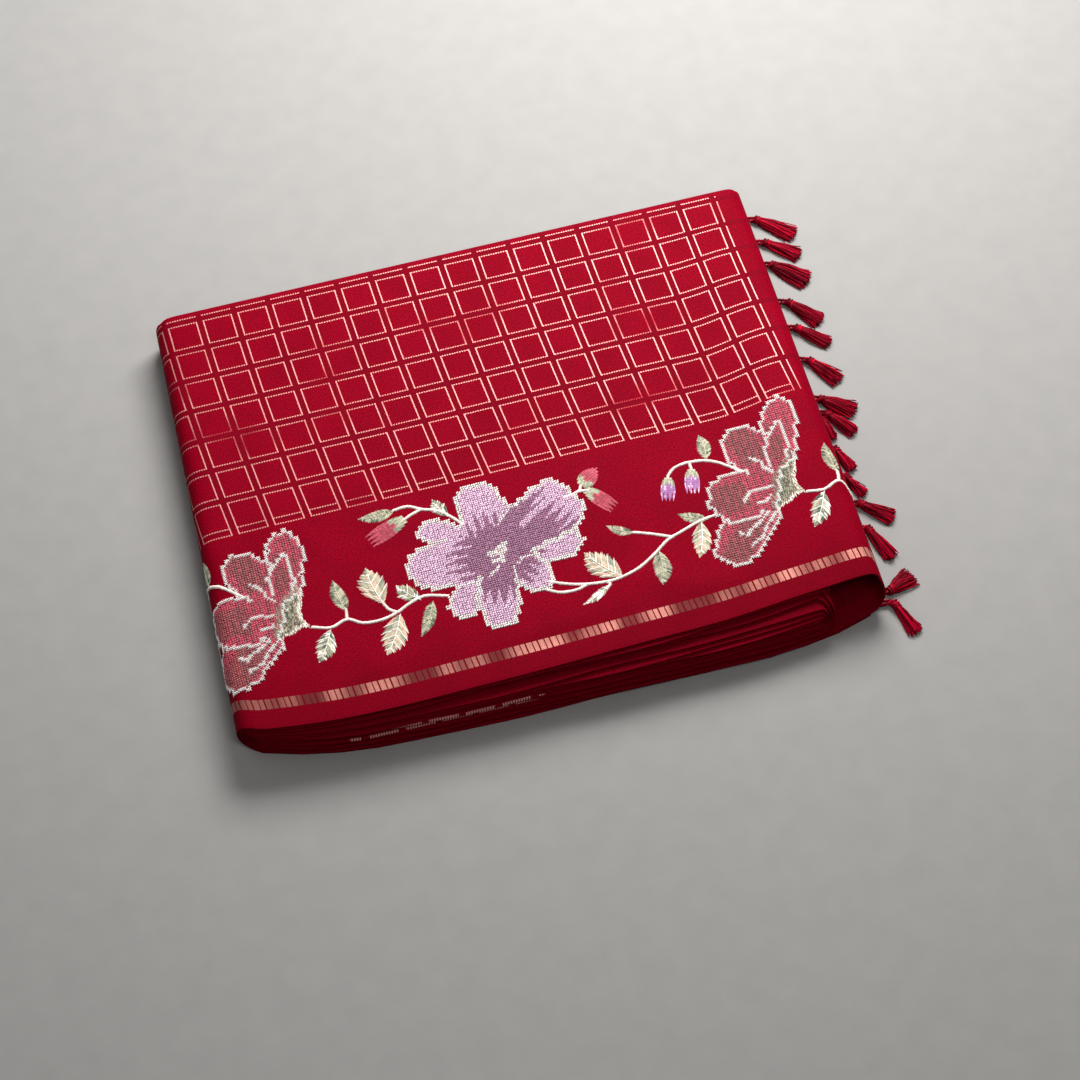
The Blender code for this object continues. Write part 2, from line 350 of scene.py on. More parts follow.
def level_normal(level, x, y):
    """The upward normal of a level."""
    step = SLOPE_STEP
    rise_x = level_height(level, x + step, y) - level_height(level, x - step, y)
    rise_y = level_height(level, x, y + step) - level_height(level, x, y - step)
    normal = np.stack([-rise_x, -rise_y, np.full_like(rise_x, 2 * step)], axis=-1)
    return normal / np.linalg.norm(normal, axis=-1, keepdims=True)


def edge_y(level, x, cross):
    """Y of a point that lies this share of the way across the strip."""
    low = int(math.floor(level))
    high = min(low + 1, LEVELS - 1)
    part = level - low
    under = LEVEL_ROWS[low]
    over = LEVEL_ROWS[high]
    share = under.step_share * (1 - part) + over.step_share * part
    drawn_in = under.back_in * (1 - part) + over.back_in * part
    top = edge_at("top_y", x)
    front = top + share * (edge_at("floor_y", x) - top) + wander(level, x)
    back = BACK_REACH - drawn_in
    return front + cross * (back - front)


def settle(level, cross, x_of_y):
    """Find the points of a level where x fits its y, and y fits its x."""
    y = FRONT_Y + cross * (BACK_REACH - FRONT_Y)
    for _ in range(SETTLE_ROUNDS):
        x = x_of_y(y)
        y = edge_y(level, x, cross)
    return x, y


def left_tangent(y):
    """X at which the left folds begin."""
    return LEFT_REACH + LEFT_LEAN * y + LEFT_FOLD_DEPTH


def outer_right_tangent(y):
    """X at which the outer right fold begins."""
    return RIGHT_REACH + RIGHT_LEAN * y - RIGHT_FOLD_DEPTH


def inner_right_tangent(y):
    """X at which the inner right folds begin."""
    share = (y - FRONT_Y) / (BACK_REACH - FRONT_Y)
    recess = RECESS_FRONT + share * (RECESS_BACK - RECESS_FRONT)
    return RIGHT_REACH + RIGHT_LEAN * y - recess - INNER_FOLD_DEPTH


def level_order():
    """Levels in the order in which the strip passes through them."""
    order = []
    for step in range(LEVELS // 2):
        order.append(step)
        order.append(LEVELS - 1 - step)
    return order


def right_end_of(level, place):
    """The rule that gives x at the right end of a level's flat run."""
    if place == 0:
        return lambda y: END_REACH + RIGHT_LEAN * y
    if place == LEVELS - 1:
        return lambda y: inner_right_tangent(y) - INNER_END_SETBACK
    if level in (1, LEVELS - 1):
        return outer_right_tangent
    return inner_right_tangent


def flat_columns(level, place, cross):
    """Points and normals along one level, column by column from left to right."""
    count = TOP_COLUMNS if level == LEVELS - 1 else OTHER_COLUMNS
    right_end = right_end_of(level, place)
    columns = []
    for i in range(count + 1):
        def between(y, share=i / count):
            return left_tangent(y) * (1 - share) + right_end(y) * share
        x, y = settle(level, cross, between)
        z = level_height(level, x, y)
        if level == LEVELS - 1:
            z = z + swell_sum(CREASES, x, y)
        columns.append((np.stack([x, y, z], axis=-1), level_normal(level, x, y)))
    return columns


def fold_columns(start, end, side, rank, cross):
    """Columns around one fold, from level start to level end, bulging to the side."""
    if side < 0:
        tangent = left_tangent
        depth = LEFT_FOLD_DEPTH - rank * FOLD_STEP
    elif rank == 0:
        tangent = outer_right_tangent
        depth = RIGHT_FOLD_DEPTH
    else:
        tangent = inner_right_tangent
        depth = INNER_FOLD_DEPTH - (rank - 1) * FOLD_STEP
    outermost = 1 - rank / (LEVELS / 2 - 1)
    power = ROUND_POWER + (SQUARER_POWER - ROUND_POWER) * outermost
    segments = OUTER_FOLD_COLUMNS if rank == 0 else INNER_FOLD_COLUMNS
    columns = []
    for step in range(1, segments):
        turn = math.pi * step / segments
        out = math.sin(turn) ** (2 / power)
        up = math.copysign(abs(math.cos(turn)) ** (2 / power), math.cos(turn))
        level = start + (end - start) * (1 - math.cos(turn)) / 2

        def bulged(y, shift=side * depth * out):
            return tangent(y) + shift
        x, y = settle(level, cross, bulged)
        root = tangent(y)
        start_z = level_height(start, root, y)
        end_z = level_height(end, root, y)
        half = (start_z - end_z) / 2
        points = np.stack([x, y, (start_z + end_z) / 2 + half * up], axis=-1)
        outward = np.stack([
            np.full_like(half, side * out ** (power - 1) / depth),
            np.zeros_like(half),
            np.copysign(abs(up) ** (power - 1) / np.abs(half), up * half),
        ], axis=-1)
        outward /= np.linalg.norm(outward, axis=-1, keepdims=True)
        columns.append((points, -outward))
    return columns


def strip_columns():
    """Points and normals of the whole strip, and the first column of each level."""
    cross = np.linspace(0, 1, ROWS) ** ROW_CROWDING
    order = level_order()
    columns = []
    starts = {}
    for place, level in enumerate(order):
        flat = flat_columns(level, place, cross)
        starts[level] = len(columns)
        if place % 2 == 0:
            columns += reversed(flat)
        else:
            columns += [(points, -normals) for points, normals in flat]
        if place < LEVELS - 1:
            side = -1 if place % 2 == 0 else 1
            columns += fold_columns(level, order[place + 1], side, place // 2, cross)
    points = np.array([column[0] for column in columns])
    normals = np.array([column[1] for column in columns])
    return points, normals, starts


# Where the weave lies on the cloth: how far it runs along, and how far from the
# front selvedge.
BORDER_BEND = 130.0
BORDER_BACK = -20.0
ROW_RISE = 6.0
ROW_RISE_FROM = 130.0
ROW_RISE_SPAN = 57.0
RISE_FRONT = -90.0
RISE_FRONT_SPAN = 60.0
RISE_BACK = 140.0
RISE_BACK_SPAN = 120.0


def weave_places(points, starts):
    """How far each point lies along the strip and from the woven edge at its front."""
    steps = np.linalg.norm(np.diff(points, axis=0), axis=-1)
    along = np.concatenate([np.zeros((1, points.shape[1])), np.cumsum(steps, axis=0)])
    first = starts[LEVELS - 1]
    along += points[first, :, 0] - along[first]
    front = points[:, :1, 1]
    y = points[:, :, 1]
    hold = smooth((BORDER_BACK - y) / BORDER_BEND)
    across = (y - FRONT_Y) - (front - FRONT_Y) * hold
    rise = ROW_RISE * smooth((points[:, :, 0] - ROW_RISE_FROM) / ROW_RISE_SPAN)
    rise = rise * smooth((y - RISE_FRONT) / RISE_FRONT_SPAN)
    across -= rise * smooth((RISE_BACK - y) / RISE_BACK_SPAN) ** 0.5
    return along, across


class Pack:
    """The fine sheet, and places on its outer face."""

    def __init__(self):
        self.points, self.normals, starts = strip_columns()
        self.starts = starts
        self.along, self.across = weave_places(self.points, starts)
        top = starts[LEVELS - 1]
        self.first = top - OUTER_FOLD_COLUMNS + 1
        self.last = top + TOP_COLUMNS + OUTER_FOLD_COLUMNS - 1

    def place(self, x, y, above=0.0):
        """Points on the outer face for places (x, y) on the cloth, and normals there."""
        x = np.asarray(x, float)
        y = np.asarray(y, float)
        span = slice(self.first, self.last + 1)
        points = self.points[span] - self.normals[span] * (SHEET / 2 + above)
        normals = -self.normals[span]
        along = self.along[span]
        front = edge_at("top_y", x) + wander(LEVELS - 1, x)
        cross = np.clip((y - front) / (BACK_REACH - front), 0, 1) ** (1 / ROW_CROWDING)
        row = cross * (ROWS - 1)
        low = np.minimum(row.astype(int), ROWS - 2)
        share = (row - low)[:, None]
        found = []
        for extra in (0, 1):
            column = np.empty(len(x))
            for j in range(ROWS):
                here = low + extra == j
                if here.any():
                    column[here] = np.interp(x[here], along[:, j], np.arange(len(along)))
            left = np.minimum(column.astype(int), len(along) - 2)
            part = (column - left)[:, None]
            j = low + extra
            found.append((points[left, j] * (1 - part) + points[left + 1, j] * part,
                          normals[left, j] * (1 - part) + normals[left + 1, j] * part))
        spot = found[0][0] * (1 - share) + found[1][0] * share
        normal = found[0][1] * (1 - share) + found[1][1] * share
        normal /= np.linalg.norm(normal, axis=1, keepdims=True)
        return spot, normal


def mesh_object(name, vertices, faces, material=None, edges=()):
    mesh = bpy.data.meshes.new(name)
    mesh.from_pydata([tuple(v) for v in vertices], edges, faces)
    if material:
        mesh.materials.append(material)
    thing = bpy.data.objects.new(name, mesh)
    bpy.context.scene.collection.objects.link(thing)
    return thing


def keep_values(mesh, name, kind, values):
    """Keep a number, a vector or a colour for each point of a mesh."""
    slot = {"FLOAT": "value", "FLOAT_VECTOR": "vector", "FLOAT_COLOR": "color"}[kind]
    attribute = mesh.attributes.new(name, kind, "POINT")
    attribute.data.foreach_set(slot, np.asarray(values, np.float32).ravel())


def dashed_columns(pack):
    """The columns of the lower layers that show the checks' gold dashes in front."""
    dashed = np.zeros(len(pack.points))
    for level in DASHED_LEVELS:
        start = pack.starts[level]
        dashed[start:start + OTHER_COLUMNS + 1] = 1.0
    front_x = pack.points[:, 0, 0]
    return dashed * (front_x > DASHED_FROM) * (front_x < DASHED_TO)


def cloth_object(pack, material):
    """The sheet with both faces and grooved rims, with its weave map and its side."""
    columns, rows, _ = pack.points.shape
    count = columns * rows
    half = pack.normals * (SHEET / 2)
    vertices = [(pack.points + half).reshape(-1, 3), (pack.points - half).reshape(-1, 3)]
    along = [pack.along.ravel()] * 2
    across = [pack.across.ravel()] * 2
    sides = [np.zeros(count), np.ones(count)]

    index = np.arange(count).reshape(columns, rows)
    quads = np.stack([index[:-1, :-1], index[1:, :-1], index[1:, 1:], index[:-1, 1:]], axis=-1)
    quads = quads.reshape(-1, 4)
    faces = [quads, quads[:, ::-1] + count]

    dashed = dashed_columns(pack)
    marks = [np.zeros(count * 2)]
    for layer in (0, count):
        marks[0][index[:, 0] + layer] = dashed

    # A rim runs along each long edge, and around each end of the strip.
    ends = ((0, 1), (columns - 1, -1))
    for j, out in ((0, -1.0), (rows - 1, 1.0)):
        ring = [index[:, j]]
        for ply in RIM:
            spot = pack.points[:, j] + pack.normals[:, j] * (ply.height * SHEET)
            start = sum(len(v) for v in vertices)
            vertices.append(spot + np.array([0, out * ply.out, 0]))
            along.append(pack.along[:, j])
            across.append(pack.across[:, j])
            sides.append(np.full(columns, 0.0 if ply.height > 0 else 1.0))
            marks.append(dashed * (out < 0) * (ply.out > 0))
            ring.append(np.arange(start, start + columns))
        ring.append(index[:, j] + count)
        for near, far in zip(ring, ring[1:]):
            quads = np.stack([near[:-1], far[:-1], far[1:], near[1:]], axis=-1)
            faces.append(quads if out < 0 else quads[:, ::-1])
        for i, order in ends:
            for near in range(len(ring) // 2 - 1):
                far = len(ring) - 1 - near
                strip = [ring[near][i], ring[near + 1][i], ring[far - 1][i], ring[far][i]]
                strip = strip[::order] if out < 0 else strip[::-order]
                faces.append(np.array([strip]))
    for i, order in ends:
        line = index[i]
        quads = np.stack([line[:-1], line[1:], line[1:] + count, line[:-1] + count], axis=-1)
        faces.append(quads[:, ::order])

    cloth = mesh_object("silk_cloth", np.concatenate(vertices) * MM,
                        np.concatenate(faces).tolist(), material)
    mesh = cloth.data
    mesh.validate()
    maker = bmesh.new()
    maker.from_mesh(mesh)
    bmesh.ops.recalc_face_normals(maker, faces=maker.faces)
    maker.to_mesh(mesh)
    maker.free()
    mesh.shade_smooth()
    corners = np.zeros(len(mesh.loops), int)
    mesh.loops.foreach_get("vertex_index", corners)
    weave = mesh.uv_layers.new(name="weave")
    pairs = np.stack([np.concatenate(along), np.concatenate(across)], axis=-1) * MM
    weave.data.foreach_set("uv", pairs[corners].ravel())
    keep_values(mesh, "border_side", "FLOAT", np.concatenate(sides))
    keep_values(mesh, "edge_dashes", "FLOAT", np.concatenate(marks))
    return cloth


# The weave.

# The checks' grid leans and bows a little about LEAN_MIDDLE, and leans less to the
# right of LEAN_LEFT.
CHECK = 22.5
CHECK_FROM = -173.5
CHECK_FRONT = 139.0
CHECKS_ALONG = 16
CHECKS_ACROSS = 7
CHECK_LEAN = -0.118
CHECK_BOW = 0.0003
LEAN_MIDDLE = 139.5
LEAN_LEFT = -40
LEAN_EASE = 0.000105
BACK_SHIFT = 1.4
BACK_FROM = 250
BACK_TO = 300
LINE_OFF = 2.25
LINE_HALF = 0.36
LEVEL_LINE_HALF = 0.396
DOT_PITCH = 1.6
DOT_SHARE = 0.62
DASHED_LEVELS = (9, 7)
DASHED_FROM = -135.0
DASHED_TO = -15.0
LADDER_START = 12.3
LADDER_END = 19.0
LADDER_SLANT = 0.12
RUNG_PITCH = 7.5
WIDE_RUNG_END = 0.44
NARROW_RUNG = (0.53, 0.87)
THREAD_PITCH = 0.9
THREADS_PROUD = 0.05
SLUBS_PROUD = 0.28
GOLD_PROUD = 0.25
# Painted sheen: how far the soft patches darken the red.
SHEEN_PATCH_SHARE = 0.26
BETWEEN_SHARE = 0.4
# Painted shade towards the front edge: its share, and how far in it fades out.
FRONT_SHADE_SHARE = 0.42
FRONT_SHADE_TO = 46.0

PLAIN_RED = rgb(156, 0, 32)
DEEP_RED = rgb(88, 0, 13)
SHADE_RED = rgb(96, 4, 20)
LADDER_RED = rgb(96, 10, 26)
GOLD = rgb(206, 140, 134)
DULL_GOLD = rgb(148, 54, 58)
LADDER_GOLD = rgb(200, 134, 122)
LADDER_DULL = rgb(98, 44, 42)
FIBRE_SHADE = (0.05, 0.01, 0.02, 1.0)


def cloth_finish():
    """Crimson silk with its gold checks and ladder, on the weave's own map."""
    material, tree, shader = new_material(
        "crimson_silk", Sheen_Weight=0.02, Sheen_Roughness=0.4,
        Sheen_Tint=rgb(255, 20, 60), Specular_IOR_Level=0.015,
    )
    weave = tree.add("ShaderNodeUVMap", {"uv_map": "weave"})
    u = tree.add("ShaderNodeSeparateXYZ", None, {"Vector": weave}, "X") * 1000
    v = tree.add("ShaderNodeSeparateXYZ", None, {"Vector": weave}, "Y") * 1000

    def noise(scale_u, scale_v, detail=2.0, shift=0.0):
        spot = tree.add("ShaderNodeCombineXYZ", None,
                        {"X": u * scale_u + shift, "Y": v * scale_v, "Z": shift})
        return tree.noise(spot, 1.0, detail)

    # The checks: double lines around each grid line, stopping at the crossings.
    back = v - LEAN_MIDDLE
    lean = back * CHECK_LEAN + back * back * CHECK_BOW
    lean = lean + back * (u.most(LEAN_LEFT) - LEAN_LEFT) * LEAN_EASE
    cell_u = (u - lean - CHECK_FROM) / CHECK
    cell_v = (v + v.ramp(BACK_FROM, BACK_TO) * BACK_SHIFT - CHECK_FRONT) / CHECK
    off_u = abs((cell_u + 0.5).fraction() - 0.5) * CHECK
    off_v = abs((cell_v + 0.5).fraction() - 0.5) * CHECK
    line_u = abs(off_u - LINE_OFF) < LINE_HALF
    line_v = abs(off_v - LINE_OFF) < LEVEL_LINE_HALF
    corner = LINE_OFF - LINE_HALF
    margin = (LINE_OFF + LINE_HALF) / CHECK
    field = (cell_v > -margin) * (cell_v < CHECKS_ACROSS + margin)
    field = field * (cell_u < CHECKS_ALONG + margin)
    first_row = v < CHECK_FRONT + LINE_OFF
    upright = line_u * (off_v > corner).most(first_row) * field
    dots = (u / DOT_PITCH).fraction() < DOT_SHARE
    level = line_v * (off_u > corner) * dots * field
    gold = upright.most(level)
    between = (off_u < corner).most(off_v < corner) * (v > CHECK_FRONT)

    # The ladder near the selvedge: rungs in pairs, a wide one and a narrow one.
    rung = ((u + (v - LADDER_START) * LADDER_SLANT) / RUNG_PITCH).fraction()
    narrow = (rung > NARROW_RUNG[0]) * (rung < NARROW_RUNG[1])
    bars = (rung < WIDE_RUNG_END).most(narrow)
    in_ladder = (v > LADDER_START) * (v < LADDER_END)
    ladder = bars * in_ladder

    # The ground: slubs, soft patches of painted sheen, deeper between the checks' double lines
    # and in the ladder, and painted shade towards the front edge, where the cloth curves down.
    slub_u = noise(0.8, 2.6, 2.0)
    slub_v = noise(2.6, 0.8, 2.0, 7.0)
    grain = (slub_u + slub_v).ramp(0.7, 1.3)
    # Painted sheen: soft lighter and darker patches, as the silk's sheen shows them.
    sheen_patches = noise(0.035, 0.03, 3.0, 2.0).ramp(0.3, 0.7)
    ground = tree.mix(grain, DEEP_RED, PLAIN_RED)
    ground = tree.mix(sheen_patches * SHEEN_PATCH_SHARE, ground, DEEP_RED)
    ground = tree.mix(between * BETWEEN_SHARE, ground, SHADE_RED)
    # Painted shade: the cloth darker towards its front edge, where it curves down away from the
    # light.
    front_shade = v.ramp(6.0, FRONT_SHADE_TO, FRONT_SHADE_SHARE, 0.0)
    ground = tree.mix(front_shade, ground, DEEP_RED)
    ground = tree.mix(in_ladder * BETWEEN_SHARE, ground, LADDER_RED)

    # The gold, bright and dull by turns.
    shimmer = noise(0.014, 0.022, 2.0, 4.0).ramp(0.26, 0.47)
    colour = tree.mix(gold * (shimmer * 0.5 + 0.45), ground,
                      tree.mix(shimmer, DULL_GOLD, GOLD))
    dashes = tree.number("edge_dashes") > 0.55
    dashes = dashes * (cell_u.fraction() > 0.1) * (cell_u.fraction() < 0.9) * dots
    colour = tree.mix(dashes * 0.9, colour, GOLD)
    ladder_shimmer = noise(0.03, 0.0, 1.0, 9.0).ramp(0.42, 0.6)
    streaks = noise(2.6, 0.15, 2.0, 5.0).ramp(0.3, 0.7)
    ladder_colour = tree.mix(ladder_shimmer, LADDER_DULL, LADDER_GOLD)
    ladder_colour = tree.mix(streaks * 0.35, ladder_colour, LADDER_DULL)
    colour = tree.mix(ladder * tree.number("border_side") * 0.95, colour, ladder_colour)

    # Threads over and under, slubs, and the gold threads a little proud.
    warp = (u * (2 * math.pi / THREAD_PITCH)).sine()
    weft = (v * (2 * math.pi / THREAD_PITCH)).sine()
    metal = gold.most(ladder)
    height = warp * weft * THREADS_PROUD + slub_u * SLUBS_PROUD + slub_v * SLUBS_PROUD
    height = height + metal * GOLD_PROUD
    feed(tree, shader, Base_Color=colour, Roughness=grain * -0.1 + 0.66 - metal * 0.24,
         Metallic=metal * 0.3, Normal=tree.bump(height, 0.55, 0.00035))
    return material


def fibres(tree, scale):
    """A fine fibre pattern, as a number and as a bump."""
    fibre = tree.noise(tree.own_place(), scale)
    return fibre, tree.bump(fibre, 0.4, 0.0002)


def thread_finish():
    """Embroidery silk, coloured by each stitch's own attribute."""
    material, tree, shader = new_material(
        "embroidery_silk", Sheen_Weight=0.2, Specular_IOR_Level=0.35)
    thread = tree.add("ShaderNodeAttribute", {"attribute_name": "thread"})
    fibre, bump = fibres(tree, 900.0)
    colour = tree.mix(fibre.ramp(0.35, 0.8) * 0.1, thread, FIBRE_SHADE)
    feed(tree, shader, Base_Color=colour, Roughness=fibre * 0.15 + 0.5, Normal=bump)
    return material


# Stitching.

def open_group(name, inputs):
    """A geometry node tree with named inputs, and those inputs as values."""
    group = bpy.data.node_groups.new(name, "GeometryNodeTree")
    face = group.interface
    face.new_socket("Geometry", in_out="OUTPUT", socket_type="NodeSocketGeometry")
    face.new_socket("Geometry", in_out="INPUT", socket_type="NodeSocketGeometry")
    for label, kind, setting in inputs:
        socket = face.new_socket(label, in_out="INPUT", socket_type=kind)
        if setting is not None:
            socket.default_value = setting
    tree = Tree(group)
    given = group.nodes.new("NodeGroupInput")
    return tree, {socket.name: Value(tree, socket) for socket in given.outputs}


def tube(tree, line, radius, sides):
    """A closed tube around a curve."""
    line = tree.add("GeometryNodeSetCurveRadius", None, {"Curve": line, "Radius": radius})
    ring = tree.add("GeometryNodeCurvePrimitiveCircle", None,
                    {"Resolution": sides, "Radius": 1.0})
    return tree.add("GeometryNodeCurveToMesh", None, {
        "Curve": line, "Profile Curve": ring, "Fill Caps": True,
        "Scale": tree.add("GeometryNodeInputRadius")})


def close_group(tree, made, finish):
    """End a tree with real meshes in their finish, shaded smooth."""
    made = tree.add("GeometryNodeRealizeInstances", None, {"Geometry": made})
    made = tree.add("GeometryNodeSetMaterial", None, {"Geometry": made, "Material": finish})
    made = tree.add("GeometryNodeSetShadeSmooth", None, {"Geometry": made})
    group = tree.tree
    result = group.nodes.new("NodeGroupOutput")
    group.links.new(made.socket, result.inputs[0])
    return group


def named(tree, name, kind):
    """What a mesh keeps for each point under a name."""
    return tree.add("GeometryNodeInputNamedAttribute", {"data_type": kind}, {"Name": name})


def stitch_tree():
    """Geometry nodes that lay one arched stitch at every point."""
    tree, source = open_group("stitching", (
        ("Thread Sides", "NodeSocketInt", 5),
        ("Thread Steps", "NodeSocketInt", 4),
        ("Arch", "NodeSocketFloat", 0.5),
        ("End Narrowing", "NodeSocketFloat", 0.5),
        ("Thread Finish", "NodeSocketMaterial", None),
    ))
    line = tree.add("GeometryNodeCurvePrimitiveLine", None,
                    {"Start": (-0.5, 0, 0), "End": (0.5, 0, 0)})
    line = tree.add("GeometryNodeResampleCurve", None,
                    {"Curve": line, "Count": source["Thread Steps"]})
    middle = tree.add("GeometryNodeSplineParameter") * 2 - 1
    square = middle * middle
    drop = tree.add("ShaderNodeCombineXYZ", None, {"Z": square * source["Arch"] * -1.0})
    line = tree.add("GeometryNodeSetPosition", None, {"Geometry": line, "Offset": drop})
    radius = (1 - square * source["End Narrowing"]) * 0.5
    stitch = tube(tree, line, radius, source["Thread Sides"])
    turn = tree.add("FunctionNodeAxesToRotation",
                    {"primary_axis": "X", "secondary_axis": "Z"},
                    {0: named(tree, "stitch_along", "FLOAT_VECTOR"),
                     1: named(tree, "stitch_up", "FLOAT_VECTOR")})
    laid = tree.add("GeometryNodeInstanceOnPoints", None, {
        "Points": source["Geometry"], "Instance": stitch, "Rotation": turn,
        "Scale": named(tree, "stitch_size", "FLOAT_VECTOR")})
    return close_group(tree, laid, source["Thread Finish"])


def run_nodes(thing, group, **inputs):
    """Run a geometry node tree on an object, and keep its result as a plain mesh."""
    modifier = thing.modifiers.new("nodes", "NODES")
    modifier.node_group = group
    for item in group.interface.items_tree:
        if item.item_type == "SOCKET" and item.in_out == "INPUT":
            if item.name.replace(" ", "_") in inputs:
                modifier[item.identifier] = inputs[item.name.replace(" ", "_")]
    bpy.context.view_layer.update()
    graph = bpy.context.evaluated_depsgraph_get()
    made = bpy.data.meshes.new_from_object(
        thing.evaluated_get(graph), preserve_all_data_layers=True, depsgraph=graph)
    thing.modifiers.remove(modifier)
    old = thing.data
    thing.data = made
    made.name = thing.name
    bpy.data.meshes.remove(old)


class Stitches:
    """Stitches that are gathered one by one and then laid on the cloth together."""

    def __init__(self):
        self.rows = []

    def add(self, x, y, dx, dy, width, height, colour, above=0.0):
        """One stitch about (x, y), from end to end (dx, dy) long."""
        self.rows.append((x, y, dx, dy, width, height, above, *colour[:3]))

    def lay(self, name, pack, group, finish, **inputs):
        """Lay the stitches, apart from those that would reach the floor."""
        rows = np.array(self.rows)
        x, y, dx, dy = rows[:, :4].T
        spot, up = pack.place(x, y)
        ahead, _ = pack.place(x + dx / 2, y + dy / 2)
        behind, _ = pack.place(x - dx / 2, y - dy / 2)
        reach = ahead - behind
        length = np.linalg.norm(reach, axis=1)
        keep = (spot[:, 2] > FLOOR_CLEAR) & (length > SHORTEST_STITCH)
        spot, up, reach, length, rows = (a[keep] for a in (spot, up, reach, length, rows))
        middle = (ahead[keep] + behind[keep] + spot) / 3
        width, height, above = rows[:, 4:7].T
        lift = height * 0.25 + above
        thing = mesh_object(name, (middle + up * lift[:, None]) * MM, [])
        sizes = {
            "stitch_along": reach / length[:, None],
            "stitch_up": up,
            "stitch_size": np.stack([length, width, height], axis=-1) * MM,
        }
        for key, values in sizes.items():
            keep_values(thing.data, key, "FLOAT_VECTOR", values)
        opaque = np.ones((len(rows), 1))
        keep_values(thing.data, "thread", "FLOAT_COLOR",
                    np.concatenate([rows[:, 7:10], opaque], axis=1))
        run_nodes(thing, group, Thread_Finish=finish, **inputs)
        for key in sizes:
            if key in thing.data.attributes:
                thing.data.attributes.remove(thing.data.attributes[key])
        return thing


# A stitch that is shorter than this, or lower, isn't laid.
SHORTEST_STITCH = 0.2
FLOOR_CLEAR = 3.5

LILAC = rgb(244, 206, 232)
PLUM = rgb(174, 122, 154)
CREAM = rgb(255, 246, 240)
# Painted shade: the next two are the dark colours of flat stitches that stand in for the shadow in
# the holes between stitches.
HOLE_SHADE_PLUM = rgb(84, 30, 62)
HOLE_SHADE_ROSE = rgb(56, 4, 18)
WHITE = rgb(255, 248, 244)
ROSE = rgb(214, 86, 108)
DUSK_ROSE = rgb(176, 94, 98)
BUD_ROSE = rgb(180, 66, 84)
SAGE = rgb(156, 158, 134)
PALE_SAGE = rgb(200, 196, 168)
DARK_SAGE = rgb(84, 100, 82)
PEACH = rgb(220, 188, 162)
VIOLET = rgb(176, 126, 184)
VINE_CREAM = rgb(242, 230, 222)


def shade(colour, chance, spread=0.1):
    """The same thread, a little lighter or darker."""
    factor = 1 + spread * (chance * 2 - 1)
    return tuple(min(channel * factor, 1.0) for channel in colour[:3])


# Each petal is a squared ellipse that points away from its flower's middle, lowest
# first. It runs from start to reach, lies off to one side a little, and its dark
# heart takes a share of it with teeth of its own.
Petal = namedtuple(
    "Petal", "turn_deg start reach half_width off power neck dark_share teeth seam_from")
MAUVE_MIDDLE = (-23.5, -74.9)
MAUVE_PETALS = (
    Petal(-3, 2, 53, 14.0, 1.5, 2.8, 0.4, 0.50, 0.8, 0.24),
    Petal(-49, 2, 38.5, 11.5, 0.0, 3.0, 0.5, 0.66, 1.0, 0.30),
    Petal(143, 5, 53, 10.5, 0.5, 2.5, 0.4, 0.42, 0.8, 0.60),
    Petal(-136, 12, 49, 11.0, 0.0, 3.0, 0.5, 0.10, 0.5, 0.30),
    Petal(177, 2, 57, 15.5, 0.0, 2.8, 0.4, 0.48, 1.2, 0.60),
    Petal(92, 3, 52, 15.5, 1.0, 3.0, 0.5, 0.50, 1.2, 0.60),
    Petal(-105, 2, 50.5, 12.5, 1.0, 2.6, 0.5, 0.60, 1.0, 0.30),
    Petal(33, 3, 61.5, 20.5, -4.0, 3.6, 0.9, 0.76, 1.2, 0.24),
)
HEART_LINES = (((-5.5, 2.0), (-0.5, 1.0), (2.0, 4.5), (6.0, 6.5)),
               ((1.0, 3.0), (2.0, -4.0), (-3.5, -3.5)))
HEART_TAIL = (((-1.5, -7.5), (-4.0, -9.5), (-9.0, -13.0)),)
PINK_MIDDLE = (152.6, -73.9)
PINK_PETALS = (
    Petal(71, 10, 61, 11.5, -1.0, 2.8, 0.4, 0.50, 0.0, 0.3),
    Petal(108, 0, 46.5, 15.0, 0.0, 2.8, 0.5, 0.80, 0.0, 0.3),
    Petal(227, 6, 62, 15.5, -2.5, 3.0, 0.5, 0.86, 0.0, 0.3),
    Petal(71, 8, 43, 6.8, 0.5, 2.2, 0.4, 0.60, 0.0, 0.3),
    Petal(183, -2, 43.5, 17.0, 0.5, 2.8, 0.5, 0.84, 0.0, 0.3),
)
PINK_VEINS = (
    ((142.3, -50.9), (148.2, -55.3), (149.0, -60.1), (154.0, -64.5)),
    ((130.7, -79.6), (135.5, -74.6), (142.2, -73.8), (150.0, -73.7)),
    ((139.2, -83.2), (144.2, -82.5), (148.0, -80.2)),
    ((121.8, -100.1), (125.7, -102.6), (130.2, -98.5), (136.9, -94.9), (143.0, -90.0)),
    ((125.8, -109.7), (129.5, -108.1), (134.7, -106.0), (138.5, -99.5), (147.0, -92.0)),
)

# The pink flower comes again a repeat to the left, where the cloth leans a little.
REPEAT = 312.2
REPEAT_DROP = 7.9
LEAN_Y = 0.16
LEAN_X = 0.07
REPEAT_PIVOT = (168.8, -83.0)


def one_repeat_left(x, y):
    """Where a place on the right flower lies on the left one."""
    px, py = REPEAT_PIVOT
    return x - REPEAT - LEAN_X * (y - py), y - REPEAT_DROP + LEAN_Y * (px - x)


def one_repeat_right(x, y):
    """The inverse of one_repeat_left."""
    px, py = REPEAT_PIVOT
    for_x, for_y = x + REPEAT, y + REPEAT_DROP
    ux, uy = for_x, for_y
    for _ in range(6):
        ux = for_x + LEAN_X * (uy - py)
        uy = for_y - LEAN_Y * (px - ux)
    return ux, uy


